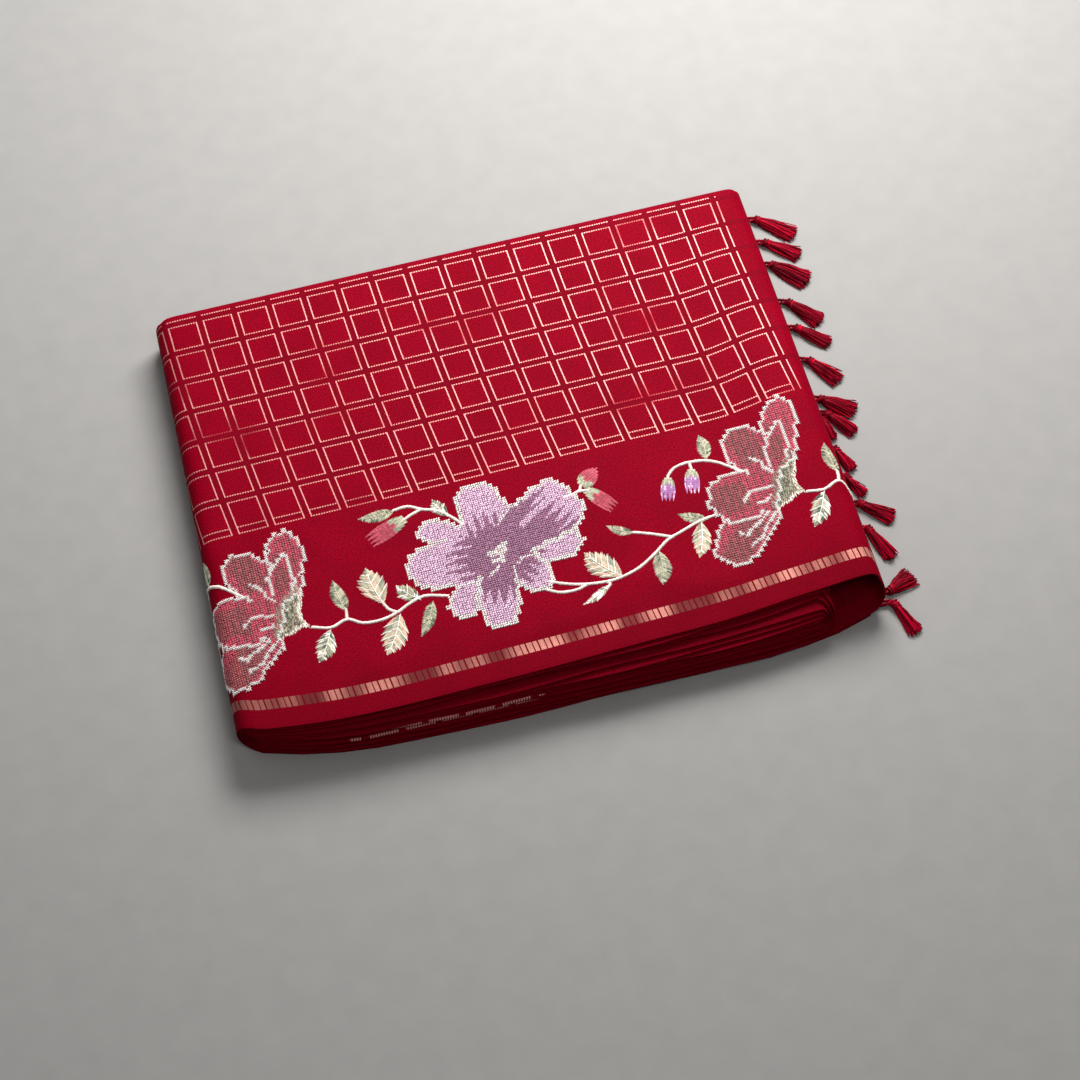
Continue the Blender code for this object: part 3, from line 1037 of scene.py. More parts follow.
def petal_place(petal, dx, dy):
    """How far along a petal each point lies, how far across, and if it is inside."""
    turn = math.radians(petal.turn_deg)
    along = dx * math.cos(turn) + dy * math.sin(turn)
    across = dy * math.cos(turn) - dx * math.sin(turn)
    half = (petal.reach - petal.start) / 2
    out = np.abs((along - petal.start - half) / half)
    aside = np.abs((across - petal.off) / petal.half_width)
    # A petal's edge waves a little.
    wave = 1 + 0.07 * np.sin(across * 0.5 + petal.turn_deg) + 0.05 * np.sin(along * 0.45)
    inside = out ** petal.power + aside ** petal.power < wave
    # Below its middle a petal narrows towards the heart of the flower.
    neck = np.clip(along / (petal.reach * petal.neck), 0, 1)
    inside &= np.abs(across) < petal.half_width * (0.3 + 0.8 * neck) + abs(petal.off)
    return along / petal.reach, across, inside


def shifted(mask, i, j):
    """A grid moved on by i and j cells."""
    return np.roll(np.roll(mask, i, axis=0), j, axis=1)


def near_other(owner, reach):
    """Cells within reach steps of a cell of another owner."""
    found = np.zeros(owner.shape, bool)
    for i in range(-reach, reach + 1):
        for j in range(-reach, reach + 1):
            if i * i + j * j <= reach * reach + 0.5:
                found |= shifted(owner, i, j) != owner
    return found


def flower_chart(petals, dx, dy, stair):
    """Which petal owns each cell, and where the cell lies in it.

    Outlines go in stairs, as they are counted on the cloth.
    """
    owner = np.full(dx.shape, -1)
    along = np.zeros(dx.shape)
    across = np.zeros(dx.shape)
    stair_x = (np.floor(dx / stair) + 0.5) * stair
    stair_y = (np.floor(dy / stair) + 0.5) * stair
    for number, petal in enumerate(petals):
        a, c, _ = petal_place(petal, dx, dy)
        inside = petal_place(petal, stair_x, stair_y)[2]
        owner[inside] = number
        along[inside] = a[inside]
        across[inside] = c[inside]
    return owner, along, across


def flower_cells(left, right, front, back, pitch):
    """The grid of cells in which a flower's stitches are counted."""
    return np.meshgrid(np.arange(left, right, pitch), np.arange(front, back, pitch),
                       indexing="ij")


def seam_starts(petals, owner):
    """How far along its petal each cell's seam begins."""
    return np.array([petal.seam_from for petal in petals])[owner]


def near_lines(x, y, lines, reach):
    """Which points lie within reach of any of the lines."""
    close = np.zeros(x.shape, bool)
    for line in lines:
        for (x0, y0), (x1, y1) in zip(line, line[1:]):
            run = np.array([x1 - x0, y1 - y0])
            t = np.clip(((x - x0) * run[0] + (y - y0) * run[1]) / (run @ run), 0, 1)
            close |= np.hypot(x - x0 - run[0] * t, y - y0 - run[1] * t) < reach
    return close


# Painted shade: the size of the flat dark stitches laid in the holes between stitches.
HOLE_SHADE_LENGTH = 3.6
HOLE_SHADE_WIDTH = 1.1
HOLE_SHADE_HEIGHT = 0.3


def hole_shade_stitches(stitches, x, y, filled, pitch, colour):
    """Painted shade: long flat dark stitches, seen in the holes between the others, that stand in
    for the shadow there.
    """
    for j in range(filled.shape[1]):
        for i in range(2, filled.shape[0] - 2, 3):
            if filled[i - 1:i + 2, j].all():
                stitches.add(x[i, j], y[i, j], pitch * HOLE_SHADE_LENGTH, 0.0,
                             pitch * HOLE_SHADE_WIDTH, HOLE_SHADE_HEIGHT, colour)


# The dark hearts of the mauve petals end in teeth, and draw in at the petal's sides.
# The longest petal has a light streak through its heart.
STITCH = 1.42
MAUVE_STITCH = (0.98, 0.85)
MAUVE_JOG = 0.15
HEART_WIDTH = 1.9
TAIL_WIDTH = 1.1
TOOTH_PITCH = 6.0
TOOTH_TURN = 0.13
TOOTH_MEAN = 0.6
TOOTH_DEPTH = 0.26
HEART_FLAT = 0.35
HEART_ROUNDING = 0.22
LONG_PETAL = 60
STREAK_FROM = 0.38
STREAK_AT = 0.15
STREAK_HALF = 0.09


def mauve_colour(petal, along, across):
    """The thread inside a mauve petal."""
    side = across / petal.half_width
    tooth = abs((across / TOOTH_PITCH + petal.turn_deg * TOOTH_TURN) % 1.0 - 0.5) * 2
    edge = petal.dark_share + TOOTH_DEPTH * (tooth - TOOTH_MEAN) * petal.teeth
    streak = False
    if petal.reach < LONG_PETAL:
        edge -= HEART_ROUNDING * max(0.0, abs(side) - HEART_FLAT)
    else:
        streak = along > STREAK_FROM and abs(side - STREAK_AT) < STREAK_HALF
    return PLUM if along < edge and not streak else LILAC


def mauve_flower(pack, group, finish, dice):
    """Fat upright stitches in lilac and plum, with a cream rim, seams and middle."""
    x, y = flower_cells(-92, 46, -136, -16, STITCH)
    dx, dy = x - MAUVE_MIDDLE[0], y - MAUVE_MIDDLE[1]
    owner, along, across = flower_chart(MAUVE_PETALS, dx, dy, 2 * STITCH)
    filled = owner >= 0
    heart = near_lines(dx, dy, HEART_LINES, HEART_WIDTH) | near_lines(
        dx, dy, HEART_TAIL, TAIL_WIDTH)
    seam = near_other(owner, 1) & (along > seam_starts(MAUVE_PETALS, owner))
    cream = heart | near_other(filled, 2) | seam
    stitches = Stitches()
    # Painted shade in the holes between the mauve stitches.
    hole_shade_stitches(stitches, x, y, filled, STITCH, HOLE_SHADE_PLUM)
    for i, j in zip(*np.nonzero(filled | heart)):
        petal = MAUVE_PETALS[owner[i, j]]
        colour = CREAM if cream[i, j] else mauve_colour(petal, along[i, j], across[i, j])
        jog, lift = dice.uniform(-MAUVE_JOG, MAUVE_JOG, 2)
        stitches.add(x[i, j] + jog, y[i, j] + lift, STITCH * 0.9,
                     STITCH * dice.uniform(0.8, 1.0), *MAUVE_STITCH,
                     shade(colour, dice.random(), 0.2), dice.uniform(0, 0.12))
    return stitches.lay("embroidery_mauve_flower", pack, group, finish,
                        End_Narrowing=0.75, Arch=0.7)


# The pink flowers are cross-stitch: the white outlines are long thin crosses that
# stand proud, and the fill is short fat ones that leave a hole at each corner.
PINK_STITCH = 1.5
VEIN_WIDTH = 0.8
DUSK_FROM = 0.42
DUSK_PAST = 0.2
DUSK_HALF = 0.55
Cross = namedtuple("Cross", "width arm proud spread")
OUTLINE = Cross(0.5, 1.12, 0.3, 0.08)
FILL = Cross(0.92, 0.62, 0.0, 0.25)
OVER = 0.12
CROSS_HEIGHT = 0.6
CROSS_JOG = 0.14


def pink_colour(petal, along, across):
    """The thread inside a pink petal, which is dusky in its middle."""
    dusky = DUSK_FROM < along < petal.dark_share + DUSK_PAST
    return DUSK_ROSE if dusky and abs(across) < petal.half_width * DUSK_HALF else ROSE


def pink_flower(name, pack, group, finish, dice, left, right, to_motif):
    """One pink flower; to_motif brings its cells to the place of the right one."""
    x, y = flower_cells(left, right, -134, -8, PINK_STITCH)
    mx, my = to_motif(x, y)
    owner, along, across = flower_chart(
        PINK_PETALS, mx - PINK_MIDDLE[0], my - PINK_MIDDLE[1], 2 * PINK_STITCH)
    filled = owner >= 0
    seam = (shifted(owner, 1, 0) != owner) | (shifted(owner, 0, -1) != owner)
    seam &= along > seam_starts(PINK_PETALS, owner)
    white = near_other(filled, 1) | seam | near_lines(mx, my, PINK_VEINS, VEIN_WIDTH)
    stitches = Stitches()
    # Painted shade in the holes between the pink crosses.
    hole_shade_stitches(stitches, x, y, filled, PINK_STITCH, HOLE_SHADE_ROSE)
    for i, j in zip(*np.nonzero(filled)):
        petal = PINK_PETALS[owner[i, j]]
        cross = OUTLINE if white[i, j] else FILL
        colour = WHITE if white[i, j] else pink_colour(petal, along[i, j], across[i, j])
        arm = PINK_STITCH * cross.arm
        jog, lift = dice.uniform(-CROSS_JOG, CROSS_JOG, 2)
        tone = shade(colour, dice.random(), cross.spread)
        for hand, proud in ((1, cross.proud), (-1, cross.proud + OVER)):
            stitches.add(x[i, j] + jog, y[i, j] + lift, arm, arm * hand, cross.width,
                         CROSS_HEIGHT, tone, proud)
    return stitches.lay(name, pack, group, finish, Thread_Steps=3)


# Leaves and buds run from base to tip. A serrated leaf has toothed sides and mixed
# thread, and a plain one is sage with dark flecks.
Leaf = namedtuple("Leaf", "x y tip_x tip_y half_width kind")
LEAVES = (
    Leaf(-46.5, -40.7, -52.8, -26.6, 4.2, "green"),
    Leaf(-76.2, -91.5, -88.5, -78.0, 5.0, "green"),
    Leaf(-69.5, -95.0, -82.0, -116.2, 3.8, "plain"),
    Leaf(44.4, -108.6, 26.0, -86.6, 7.8, "serrated"),
    Leaf(34.6, -112.8, 16.0, -121.2, 2.6, "narrow"),
    Leaf(58.6, -82.1, 44.1, -73.0, 2.8, "plain"),
    Leaf(-77.5, -28.6, -100.3, -28.3, 3.8, "plain"),
    Leaf(-120.6, -86.4, -124.1, -64.0, 4.3, "plain"),
    Leaf(-98.1, -88.1, -103.2, -61.1, 7.8, "serrated"),
    Leaf(-132.7, -96.8, -144.5, -116.7, 5.8, "green"),
    Leaf(-90.3, -97.8, -104.7, -122.8, 7.4, "serrated"),
    Leaf(117.5, -44.6, 117.5, -26.1, 4.0, "plain"),
    Leaf(104.8, -85.1, 88.3, -76.7, 3.4, "plain"),
    Leaf(101.1, -86.5, 92.7, -110.0, 5.8, "serrated"),
    Leaf(70.6, -98.9, 66.3, -122.0, 5.2, "plain"),
)
BUDS = (
    Leaf(38.3, -42.0, 50.1, -33.0, 5.4, "bud"),
    Leaf(40.1, -46.6, 52.5, -62.1, 4.8, "forked"),
    Leaf(-73.1, -35.8, -95.6, -45.0, 5.4, "forked"),
    Leaf(90.4, -51.6, 86.0, -66.1, 4.2, "bell"),
    Leaf(105.9, -49.7, 102.3, -65.0, 4.4, "bell"),
)
STEMS = (
    ((-143, -92), (-132, -95.2), (-121.5, -92.5), (-113, -97.2), (-102, -98.3), (-91.5, -96.0),
     (-83, -92.2), (-73, -89.8), (-59.5, -93.5)),
    ((-121.5, -92.5), (-120.8, -88), (-120.6, -85)),
    ((-91.5, -96.0), (-96, -92.5), (-98.5, -87)),
    ((1, -100.3), (11, -104.8), (22, -108), (34.5, -109.7), (44.3, -109.2), (56.1, -105.8),
     (67.7, -99.3), (77.5, -92.6), (88.3, -88.8), (100.5, -85.1), (110.8, -83.6)),
    ((-1.5, -105.5), (6, -109.3), (15.5, -110.2), (23, -108.3)),
    ((34.5, -109.7), (36, -112), (33, -114.5)),
    ((59.0, -81.7), (69, -85.5), (80.5, -90.8)),
    ((136, -59), (128.2, -52.7), (122.9, -48.7), (115.1, -45.2), (104.5, -43.8),
     (96.3, -45.3), (91.2, -49.5), (90.3, -52)),
    ((106.4, -44), (106, -50)),
    ((25, -47.5), (30.5, -47), (35.5, -45.8), (41.5, -46.8)),
    ((35.5, -45.8), (37.5, -42.2)),
    ((-77.5, -28), (-68.4, -27.6), (-60.3, -31.8), (-51.7, -35.3), (-44.2, -42.0), (-39, -49)),
    ((-60.3, -31.8), (-67, -33.6), (-73, -36.2)),
)

LEAF_THREADS = {
    "serrated": (PALE_SAGE, PEACH, SAGE, PALE_SAGE, PEACH, SAGE),
    "green": (SAGE, DARK_SAGE, PALE_SAGE, SAGE, CREAM),
    "narrow": (CREAM, PALE_SAGE, CREAM, SAGE),
    "plain": (SAGE, PALE_SAGE, SAGE, PALE_SAGE, SAGE, DARK_SAGE),
}
LEAF_PITCH = 0.68
LOBE_PITCH = 5.0
LEAF_BOW = 0.045
LEAST_WIDTH = 0.45
SPLIT_WIDTH = 3.2
RIB_PITCH = 2.2
RIB_SHARE = 0.84

# A leaf widens by one power from its base and narrows by another to its tip, and
# each of its lobes widens outwards and ends in a cream stitch.
LeafForm = namedtuple("LeafForm", "fullness swelling thinning lobe_from lobe_gain slant rib")
TOOTHED = LeafForm(2.95, 0.42, 1.08, 0.84, 0.28, math.radians(40), CREAM)
PLAIN = LeafForm(2.85, 0.5, 1.0, 1.0, 0.0, math.radians(28), PALE_SAGE)
LOBE_END = 0.87
LEAF_STITCH = (0.8, 0.62)
RIB_STITCH = (0.7, 0.6)
RIB_LENGTH = 2.6
RIB_PROUD = 0.3
MIXED_SHARE = 0.3


def axis_of(leaf):
    """A leaf's or bud's base, its length, and the ways ahead and to its left."""
    base = np.array([leaf.x, leaf.y])
    reach = np.array([leaf.tip_x, leaf.tip_y]) - base
    length = float(np.hypot(*reach))
    ahead = reach / length
    return base, length, ahead, np.array([-ahead[1], ahead[0]])


def leaf_stitches(stitches, leaf, dice):
    """Slanting stitches on both sides of a raised rib."""
    base, length, ahead, side = axis_of(leaf)
    threads = LEAF_THREADS[leaf.kind]
    form = PLAIN if leaf.kind == "plain" else TOOTHED
    lobes = max(3, round(length / LOBE_PITCH))
    bow = LEAF_BOW * length * (1 if leaf.tip_x < leaf.x else -1)
    steps = int(length / LEAF_PITCH)
    for step in range(steps):
        t = (step + 0.5) / steps
        phase = (t * lobes) % 1.0
        width = leaf.half_width * form.fullness * t ** form.swelling * (1 - t) ** form.thinning
        width *= form.lobe_from + form.lobe_gain * phase
        width = max(width, LEAST_WIDTH)
        root = base + ahead * length * t * 0.96 + side * bow * math.sin(math.pi * t)
        for hand in (1, -1):
            run = (side * hand * math.cos(form.slant) + ahead * math.sin(form.slant)) * width
            run *= 0.94 + 0.12 * dice.random()
            parts = 2 if width > SPLIT_WIDTH else 1
            for part in range(parts):
                middle = root + run * (part + 0.5) / parts + ahead * dice.uniform(-0.15, 0.15)
                pick = int(t * lobes) + hand + part * 2
                if dice.random() < MIXED_SHARE:
                    pick = dice.integers(len(threads))
                colour = threads[pick % len(threads)]
                if form is TOOTHED and phase > LOBE_END:
                    colour = CREAM
                stitches.add(*middle, *(run / parts * 1.12), *LEAF_STITCH,
                             shade(colour, dice.random(), 0.14), 0.05 * part)
    for step in range(int(length * RIB_SHARE / RIB_PITCH)):
        t = (RIB_PITCH / 2 + RIB_PITCH * step) / length
        middle = base + ahead * length * t + side * bow * math.sin(math.pi * t)
        stitches.add(*middle, *(ahead * RIB_LENGTH), *RIB_STITCH,
                     shade(form.rib, dice.random()), RIB_PROUD)


# A bud's sides swell along its length, and its mouth is cut into teeth.
BudForm = namedtuple("BudForm", "start span power teeth")
BUD_FORMS = {
    "bud": BudForm(0.05, 1.0, 0.7, 0.0),
    "forked": BudForm(0.08, 0.72, 0.8, 0.24),
    "bell": BudForm(0.08, 0.72, 0.8, 0.3),
}
BUD_LANE = 0.66
BUD_STEPS = 9
BUD_STITCH = (0.74, 0.6)
CUP_SHARE = 0.22
CUP_SIDES = 0.16
CUP_PROUD = 0.12


def bud_stitches(stitches, bud, dice):
    """A closed pod, or a bell with a forked mouth, in a pale cup."""
    base, length, ahead, side = axis_of(bud)
    bell = bud.kind == "bell"
    form = BUD_FORMS[bud.kind]
    lanes = int(bud.half_width * 2 / BUD_LANE)
    for lane in range(lanes + 1):
        a = 2 * lane / lanes - 1
        end = 1.0 - form.teeth * (1 - abs(math.sin(a * math.pi * 1.5)))
        for step in range(BUD_STEPS):
            t = (step + 0.5) / BUD_STEPS
            if t > end:
                continue
            swell = min(t + form.start, 1.0) ** 0.8 * form.span
            spread = math.sin(math.pi * swell) ** form.power
            middle = base + ahead * length * t + side * a * bud.half_width * spread
            cupped = t < CUP_SHARE + CUP_SIDES * abs(a)
            colour = VIOLET if bell else BUD_ROSE
            if cupped:
                colour = (PALE_SAGE, SAGE, SAGE)[dice.integers(3)]
            elif dice.random() < 0.2:
                colour = LILAC if bell else ROSE
            stitches.add(*middle, *(ahead * length / BUD_STEPS * 1.5), *BUD_STITCH,
                         shade(colour, dice.random(), 0.16), CUP_PROUD if cupped else 0.0)


# The calyx's two sides along its axis: the inner one faces the petals, and the
# outer one has the point that the stem grows from.
CALYX_AXIS = (168.5, -53.5, 147.0, -91.0)
Side = namedtuple("Side", "along inner outer")
CALYX_SIDES = (
    Side(0.0, -0.5, 0.5),
    Side(5.0, -1.2, 3.9),
    Side(12.0, -3.8, 6.4),
    Side(18.0, -5.2, 7.0),
    Side(22.7, -6.2, 10.4),
    Side(26.0, -5.0, 15.0),
    Side(29.0, -3.6, 10.6),
    Side(34.0, -2.6, 8.0),
    Side(38.0, -3.4, 4.4),
    Side(42.5, -1.2, 0.8),
)
CALYX_ROW = 0.9
CALYX_LANE = 0.95
CALYX_STITCH = (0.74, 0.55)


def calyx_stitches(stitches, dice, move):
    """The sage cup behind the pink petals, which narrows into the stem."""
    x0, y0, x1, y1 = CALYX_AXIS
    ahead = np.array([x1 - x0, y1 - y0]) / math.hypot(x1 - x0, y1 - y0)
    side = np.array([-ahead[1], ahead[0]])
    marks = [row.along for row in CALYX_SIDES]
    for along in np.arange(0.4, marks[-1], CALYX_ROW):
        low = np.interp(along, marks, [row.inner for row in CALYX_SIDES])
        high = np.interp(along, marks, [row.outer for row in CALYX_SIDES])
        for across in np.arange(low, high, CALYX_LANE):
            spot = np.array([x0, y0]) + ahead * along + side * across
            spot = spot + np.array([dice.uniform(-0.25, 0.25), dice.uniform(-0.25, 0.25)])
            lean = ahead * dice.uniform(0.7, 1.2) + side * dice.uniform(0.4, 1.0)
            share = (across - low) / (high - low)
            pick = dice.random() + share * 0.5
            colour = DARK_SAGE if pick < 0.62 else (SAGE if pick < 1.15 else PALE_SAGE)
            if share > 0.8:
                colour = CREAM if dice.random() < 0.6 else PALE_SAGE
            x, y = move(*spot)
            stitches.add(x, y, lean[0] * 1.15, lean[1] * 1.15, *CALYX_STITCH,
                         shade(colour, dice.random(), 0.12), 0.15)


def smooth_at(points, mark):
    """A place on a smooth curve through the points, where mark 1.5 is half-way
    from the second point to the third."""
    i = min(int(mark), len(points) - 2)
    t = mark - i
    b, c = points[i], points[i + 1]
    a = points[i - 1] if i else 2 * b - c
    d = points[i + 2] if i + 2 < len(points) else 2 * c - b
    return 0.5 * (2 * b + (c - a) * t + (2 * a - 5 * b + 4 * c - d) * t * t
                  + (3 * b - 3 * c + d - a) * t ** 3)


def smooth_line(points, count):
    """A smooth line of count places through the given points."""
    points = np.array(points, float)
    return np.array([smooth_at(points, mark) for mark in np.linspace(0, len(points) - 1, count)])


VINE_WIDTH = 1.9
VINE_PITCH = 0.66
VINE_SLANT = math.radians(52)
VINE_STITCH = (0.82, 0.95)
CURVE_STEPS = 24


def stem_stitches(stitches, path, dice):
    """A cord of slanting stitches, at even steps along a smooth curve."""
    fine = smooth_line(path, (len(path) - 1) * CURVE_STEPS + 1)
    run = np.concatenate([[0], np.cumsum(np.linalg.norm(np.diff(fine, axis=0), axis=1))])
    marks = np.arange(0, run[-1], VINE_PITCH)
    spots = np.stack([np.interp(marks, run, fine[:, k]) for k in range(2)], axis=-1)
    ahead = np.gradient(spots, axis=0)
    ahead /= np.linalg.norm(ahead, axis=1, keepdims=True)
    for (x, y), (ax, ay) in zip(spots, ahead):
        dx = ax * math.cos(VINE_SLANT) - ay * math.sin(VINE_SLANT)
        dy = ay * math.cos(VINE_SLANT) + ax * math.sin(VINE_SLANT)
        size = VINE_WIDTH * dice.uniform(0.88, 1.12)
        stitches.add(x, y, dx * size, dy * size, *VINE_STITCH,
                     shade(VINE_CREAM, dice.random(), 0.12), dice.uniform(0.0, 0.2))


def moved_leaf(leaf, move):
    """A leaf or bud where the pattern comes again."""
    x, y = move(leaf.x, leaf.y)
    tip_x, tip_y = move(leaf.tip_x, leaf.tip_y)
    return leaf._replace(x=x, y=y, tip_x=tip_x, tip_y=tip_y)


def stay(x, y):
    return x, y


CLOTH_SPAN = (-224.0, 222.0)


def in_span(x):
    """If a place is on the cloth or its outer folds."""
    return CLOTH_SPAN[0] < x < CLOTH_SPAN[1]


def embroider(pack):
    """All of the embroidery: three flowers, and the vine, leaves and buds between."""
    group = stitch_tree()
    silk = thread_finish()
    dice = np.random.default_rng(11)
    made = [
        mauve_flower(pack, group, silk, dice),
        pink_flower("embroidery_pink_flower_right", pack, group, silk, dice, 98, 186, stay),
        pink_flower("embroidery_pink_flower_left", pack, group, silk, dice, -222, -126,
                    one_repeat_right),
    ]
    vine = Stitches()
    leaves = Stitches()
    buds = Stitches()
    for move in (stay, one_repeat_left, one_repeat_right):
        for path in STEMS:
            path = [move(*point) for point in path]
            path = [point for point in path if in_span(point[0])]
            if len(path) > 1:
                stem_stitches(vine, path, dice)
        for shapes, stitches, sew in ((LEAVES, leaves, leaf_stitches), (BUDS, buds, bud_stitches)):
            for shape in shapes:
                shape = moved_leaf(shape, move)
                if in_span(shape.x) and in_span(shape.tip_x):
                    sew(stitches, shape, dice)
    for move in (stay, one_repeat_left):
        calyx_stitches(leaves, dice, move)
    made.append(vine.lay("embroidery_vine", pack, group, silk))
    made.append(leaves.lay("embroidery_leaves", pack, group, silk, Thread_Steps=3))
    made.append(buds.lay("embroidery_buds", pack, group, silk, Thread_Steps=3))
    return made


# Tassels.

Tassel = namedtuple("Tassel", "edge_y knot_x knot_y tip_x tip_y spread")
TASSELS = (
    Tassel(139, 210.0, 134.0, 230.0, 117.0, 5.0),
    Tassel(121, 210.0, 115.0, 228.0, 100.5, 4.5),
    Tassel(103, 209.0, 97.0, 227.0, 80.0, 6.5),
    Tassel(74, 210.0, 66.0, 225.0, 48.0, 5.0),
    Tassel(52, 209.0, 46.0, 225.0, 30.5, 4.2),
    Tassel(28, 209.0, 20.0, 222.0, 2.0, 5.0),
    Tassel(-1, 207.0, -9.0, 224.5, -22.0, 5.5),
    Tassel(-14, 207.0, -20.5, 219.0, -37.0, 4.0),
    Tassel(-23, 202.6, -24.5, 204.6, -37.5, 2.6),
    Tassel(-46, 203.0, -46.5, 209.0, -62.0, 3.0),
    Tassel(-66, 203.0, -67.0, 210.0, -81.0, 3.0),
    Tassel(-83, 206.0, -87.5, 222.0, -102.0, 4.5),
    Tassel(-102, 204.5, -106.0, 212.5, -128.0, 4.0),
    Tassel(-141, 204.0, -149.0, 219.5, -142.5, 5.5),
    Tassel(-154, 203.0, -159.5, 210.0, -180.5, 3.6),
)
UP = np.array([0, 0, 1.0])
FLOOR_GAP = 0.02
YARNS = 90
YARN_RADIUS = 0.33
YARN_STEPS = 7
SKIRT_HEIGHT = 4.8
SKIRT_ROUNDING = 0.55
SKIRT_TIP_ROUNDING = 0.06
TIP_UNEVEN = (-2.4, 1.0)
SWING = 2.0
BEND = 3.0
SPREAD_STEP = 0.618034
LAYER_STEP = 0.754878

# The skirt's stations along its length: how wide and how tall it is at each.
Station = namedtuple("Station", "t wide tall")
STATIONS = (
    Station(-0.06, 0.32, 0.62),
    Station(0.14, 0.62, 0.95),
    Station(0.40, 0.84, 1.0),
    Station(0.72, 1.0, 0.8),
    Station(1.0, 1.14, 0.6),
)
KNOT_HEIGHT = 2.5
KNOT_WIDE = 2.35
KNOT_UNEVEN = 0.25
KNOT_TALL = 1.75
KNOT_FILL = 2.6
WRAPS = 4
WRAP_STEPS = 17
WRAP_START = -2.2
WRAP_PITCH = 1.5
WRAP_SLANT = 0.8
WRAP_RADIUS = 0.72
LEG_SPLAY = 2.6
LEG_PLIES = 3
LEG_RADIUS = 0.558
LEG_LAY = 0.6
LEG_TWIST = 0.9
LEG_STEPS = 15

# A leg starts this far behind the knot's middle, aside and up, sags to its middle
# height, and ends in the edge of the lowest layer.
LEG_BEHIND = 2.4
LEG_ASIDE = 1.1
LEG_UP = 2.1
LEG_SAG = 1.5
LEG_END = 1.1
LEG_SEAT = 0.2


def yarn_tree():
    """Geometry nodes that turn lines with a radius into yarn."""
    tree, source = open_group("yarn", (
        ("Yarn Sides", "NodeSocketInt", 5),
        ("Yarn Finish", "NodeSocketMaterial", None),
    ))
    line = tree.add("GeometryNodeMeshToCurve", None, {"Mesh": source["Geometry"]})
    yarn = tube(tree, line, named(tree, "yarn_radius", "FLOAT"), source["Yarn Sides"])
    return close_group(tree, yarn, source["Yarn Finish"])


def off_floor(line, radius):
    """Lift what would cut into the floor."""
    line[:, 2] = np.maximum(line[:, 2], radius + FLOOR_GAP)
    return line


def skirt_lines(row, knot, length, ahead, side, dice):
    """Yarns that fan out of the knot, and lie on the floor at their tips."""
    lines = []
    for number in range(YARNS):
        a = 2 * ((number * SPREAD_STEP) % 1.0) - 1
        b = (number * LAYER_STEP) % 1.0
        far = length * (1.0 - SKIRT_TIP_ROUNDING * a * a) + dice.uniform(*TIP_UNEVEN)
        swing = dice.uniform(-SWING, SWING)
        height = b * SKIRT_HEIGHT * (1 - SKIRT_ROUNDING * a * a)
        points = []
        for t, wide, tall in STATIONS:
            bend = swing * math.sin(t * BEND + number)
            z = YARN_RADIUS + height * tall
            if t < 0:
                z = KNOT_HEIGHT + (b - 0.5) * KNOT_FILL
            aside = a * row.spread * wide + bend * t
            points.append(knot + ahead * far * t + side * aside + UP * z)
        line = off_floor(smooth_line(points, YARN_STEPS), YARN_RADIUS)
        lines.append((line, YARN_RADIUS, dice.random()))
    return lines


def knot_lines(knot, ahead, side, dice):
    """Thick turns around the yarns."""
    lines = []
    for wrap in range(WRAPS):
        at = WRAP_START + WRAP_PITCH * wrap
        wide = KNOT_WIDE + KNOT_UNEVEN * math.sin(wrap * 2.0)
        ring = []
        for turn in np.linspace(0, 2 * math.pi, WRAP_STEPS):
            slide = at + WRAP_SLANT * math.sin(turn + wrap)
            ring.append(knot + ahead * slide + side * math.cos(turn) * wide
                        + UP * (KNOT_HEIGHT + math.sin(turn) * KNOT_TALL))
        lines.append((np.array(ring), WRAP_RADIUS, dice.random()))
    return lines


def leg_lines(row, knot, ahead, side, dice):
    """Two twisted cords back to the cloth's edge."""
    lines = []
    edge_x = END_REACH + RIGHT_LEAN * row.edge_y - LEG_SEAT
    for hand in (1, -1):
        start = knot - ahead * LEG_BEHIND + side * hand * LEG_ASIDE + UP * LEG_UP
        end = np.array([edge_x, row.edge_y + hand * LEG_SPLAY, LEG_END])
        middle = start * 0.5 + end * 0.5
        middle[2] = LEG_SAG
        spine = smooth_line([start, middle, end], LEG_STEPS)
        heading = np.gradient(spine, axis=0)
        heading /= np.linalg.norm(heading, axis=1, keepdims=True)
        across = np.cross(heading, UP)
        across /= np.linalg.norm(across, axis=1, keepdims=True)
        rise = np.cross(across, heading)
        run = np.linspace(0, np.linalg.norm(end - start), LEG_STEPS)
        for ply in range(LEG_PLIES):
            turn = (run * LEG_TWIST + ply * 2 * math.pi / LEG_PLIES)[:, None]
            line = spine + across * np.cos(turn) * LEG_LAY + rise * np.sin(turn) * LEG_LAY
            lines.append((off_floor(line, LEG_RADIUS), LEG_RADIUS, dice.random()))
    return lines


def tassel_lines(row, dice):
    """The yarns of one tassel, each as its points, its radius and its tone, which is partly its own
    and partly painted highlight and shade.
    """
    knot = np.array([row.knot_x, row.knot_y, 0.0])
    reach = np.array([row.tip_x, row.tip_y, 0.0]) - knot
    length = float(np.linalg.norm(reach))
    ahead = reach / length
    side = np.array([-ahead[1], ahead[0], 0.0])
    return (skirt_lines(row, knot, length, ahead, side, dice)
            + knot_lines(knot, ahead, side, dice)
            + leg_lines(row, knot, ahead, side, dice))


def yarn_object(name, lines, group, finish):
    """Lines made into yarn by the node tree."""
    vertices = []
    edges = []
    radii = []
    tones_and_painted_light = []
    for points, radius, tone in lines:
        start = len(vertices)
        vertices += list(points * MM)
        edges += [(i, i + 1) for i in range(start, start + len(points) - 1)]
        radii += [radius * MM] * len(points)
        tones_and_painted_light += [tone] * len(points)
    thing = mesh_object(name, vertices, [], edges=edges)
    keep_values(thing.data, "yarn_radius", "FLOAT", radii)
    keep_values(thing.data, "yarn_tone", "FLOAT", tones_and_painted_light)
    run_nodes(thing, group, Yarn_Finish=finish)
    return thing


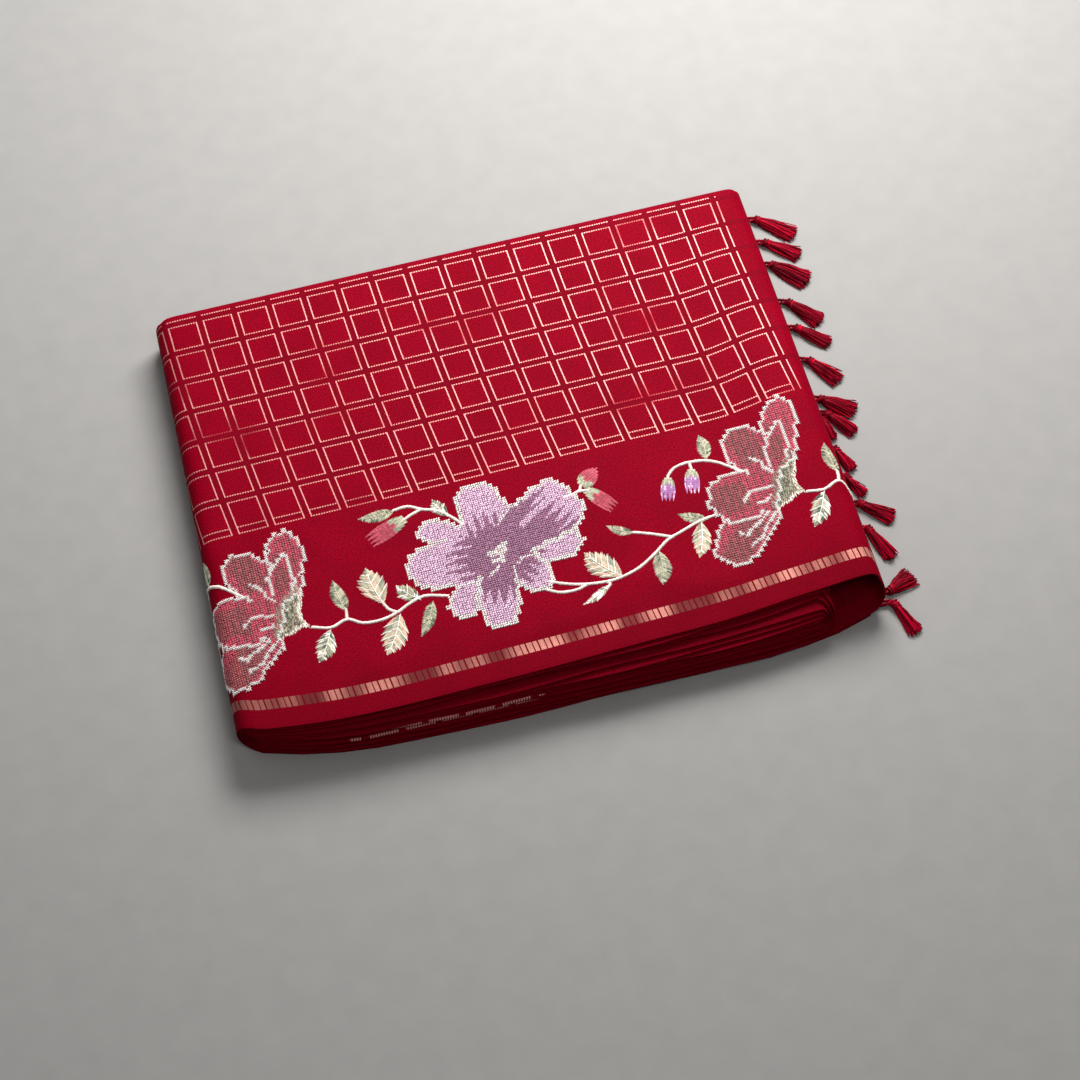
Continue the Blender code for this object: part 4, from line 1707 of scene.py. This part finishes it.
def yarn_finish():
    """Twisted silk yarn, lighter and darker by strand: partly each strand's own tone, partly
    painted highlight and shade.
    """
    material, tree, shader = new_material(
        "tassel_yarn", Sheen_Weight=0.02, Sheen_Tint=rgb(255, 30, 60),
        Specular_IOR_Level=0.05)
    tone = tree.number("yarn_tone")
    fibre, bump = fibres(tree, 1200.0)
    # Each strand's own tone together with painted highlight and shade: most strands dark, a few
    # bright.
    colour = tree.mix(tone * tone, rgb(84, 0, 16), rgb(204, 0, 44))
    colour = tree.mix(fibre.ramp(0.35, 0.7) * 0.3, colour, rgb(70, 2, 16))
    feed(tree, shader, Base_Color=colour, Roughness=fibre * 0.2 + 0.32, Normal=bump)
    return material


def add_tassels():
    """Each tassel in yarn, in the place of its solid."""
    group = yarn_tree()
    finish = yarn_finish()
    dice = np.random.default_rng(5)
    made = []
    for number, row in enumerate(TASSELS, start=1):
        lines = tassel_lines(row, dice)
        thing = yarn_object(f"yarn_tassel_{number:02d}", lines, group, finish)
        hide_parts(f"tassel_{number:02d}")
        made.append(thing)
    return made


# Floor, camera and lights.

CAMERA_PLACE = (-0.1980, -0.7913, 1.4117)
CAMERA_AIM = (0.0032, -0.0716, 0.028)
CAMERA_LENS = 86.667
SENSOR = 36.0

Lamp = namedtuple("Lamp", "name place aim width height watts colour")
LAMPS = (
    Lamp("key_softbox", (0.34, 0.66, 0.70), (0, 0, 0), 0.7, 0.45, 21.5, (1.0, 0.985, 0.97)),
    Lamp("top_softbox", (0.1, -0.5, 1.4), (0.05, -0.16, 0), 0.5, 0.5, 4.5, (1.0, 0.99, 0.98)),
    Lamp("side_softbox", (-0.9, 0.7, 1.2), (0, 0, 0), 0.9, 0.9, 3.5, (0.96, 0.98, 1.0)),
)
AMBIENT = 0.14
FLOOR_HALF = 3.0


def aim(thing, place, target):
    """Put a camera or lamp in its place and turn it to its target."""
    thing.location = place
    thing.rotation_mode = "QUATERNION"
    thing.rotation_quaternion = (Vector(target) - Vector(place)).to_track_quat("-Z", "Y")


def add_stage():
    """The camera, the soft lamps and the plain floor."""
    scene = bpy.context.scene
    scene.view_settings.view_transform = "Standard"
    camera = bpy.data.cameras.new("camera")
    camera.lens = CAMERA_LENS
    camera.sensor_width = SENSOR
    holder = bpy.data.objects.new("camera", camera)
    aim(holder, CAMERA_PLACE, CAMERA_AIM)
    scene.collection.objects.link(holder)
    scene.camera = holder
    for lamp in LAMPS:
        light = bpy.data.lights.new(lamp.name, "AREA")
        light.shape = "RECTANGLE"
        light.size = lamp.width
        light.size_y = lamp.height
        light.energy = lamp.watts
        light.color = lamp.colour
        thing = bpy.data.objects.new(lamp.name, light)
        aim(thing, lamp.place, lamp.aim)
        scene.collection.objects.link(thing)
    world = bpy.data.worlds.new("studio")
    world.use_nodes = True
    air = world.node_tree.nodes["Background"]
    air.inputs["Color"].default_value = (1.0, 1.0, 1.0, 1.0)
    air.inputs["Strength"].default_value = AMBIENT
    scene.world = world

    material, tree, shader = new_material("pale_floor", Roughness=0.7, Specular_IOR_Level=0.2)
    grain = tree.noise(tree.own_place(), 60.0, 3.0)
    feed(tree, shader, Base_Color=tree.mix(grain, rgb(142, 141, 139), rgb(152, 150, 148)))
    corners = [(x * FLOOR_HALF, y * FLOOR_HALF, 0) for x, y in ((-1, -1), (1, -1), (1, 1), (-1, 1))]
    floor = mesh_object("floor", corners, [(0, 1, 2, 3)], material)
    return floor


def main():
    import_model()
    floor = add_stage()
    pack = Pack()
    cloth = cloth_object(pack, cloth_finish())
    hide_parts("sari_cloth")
    stitched = embroider(pack)
    tassels = add_tassels()
    for piece in (cloth, *stitched, *tassels):
        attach(piece, "root")


main()
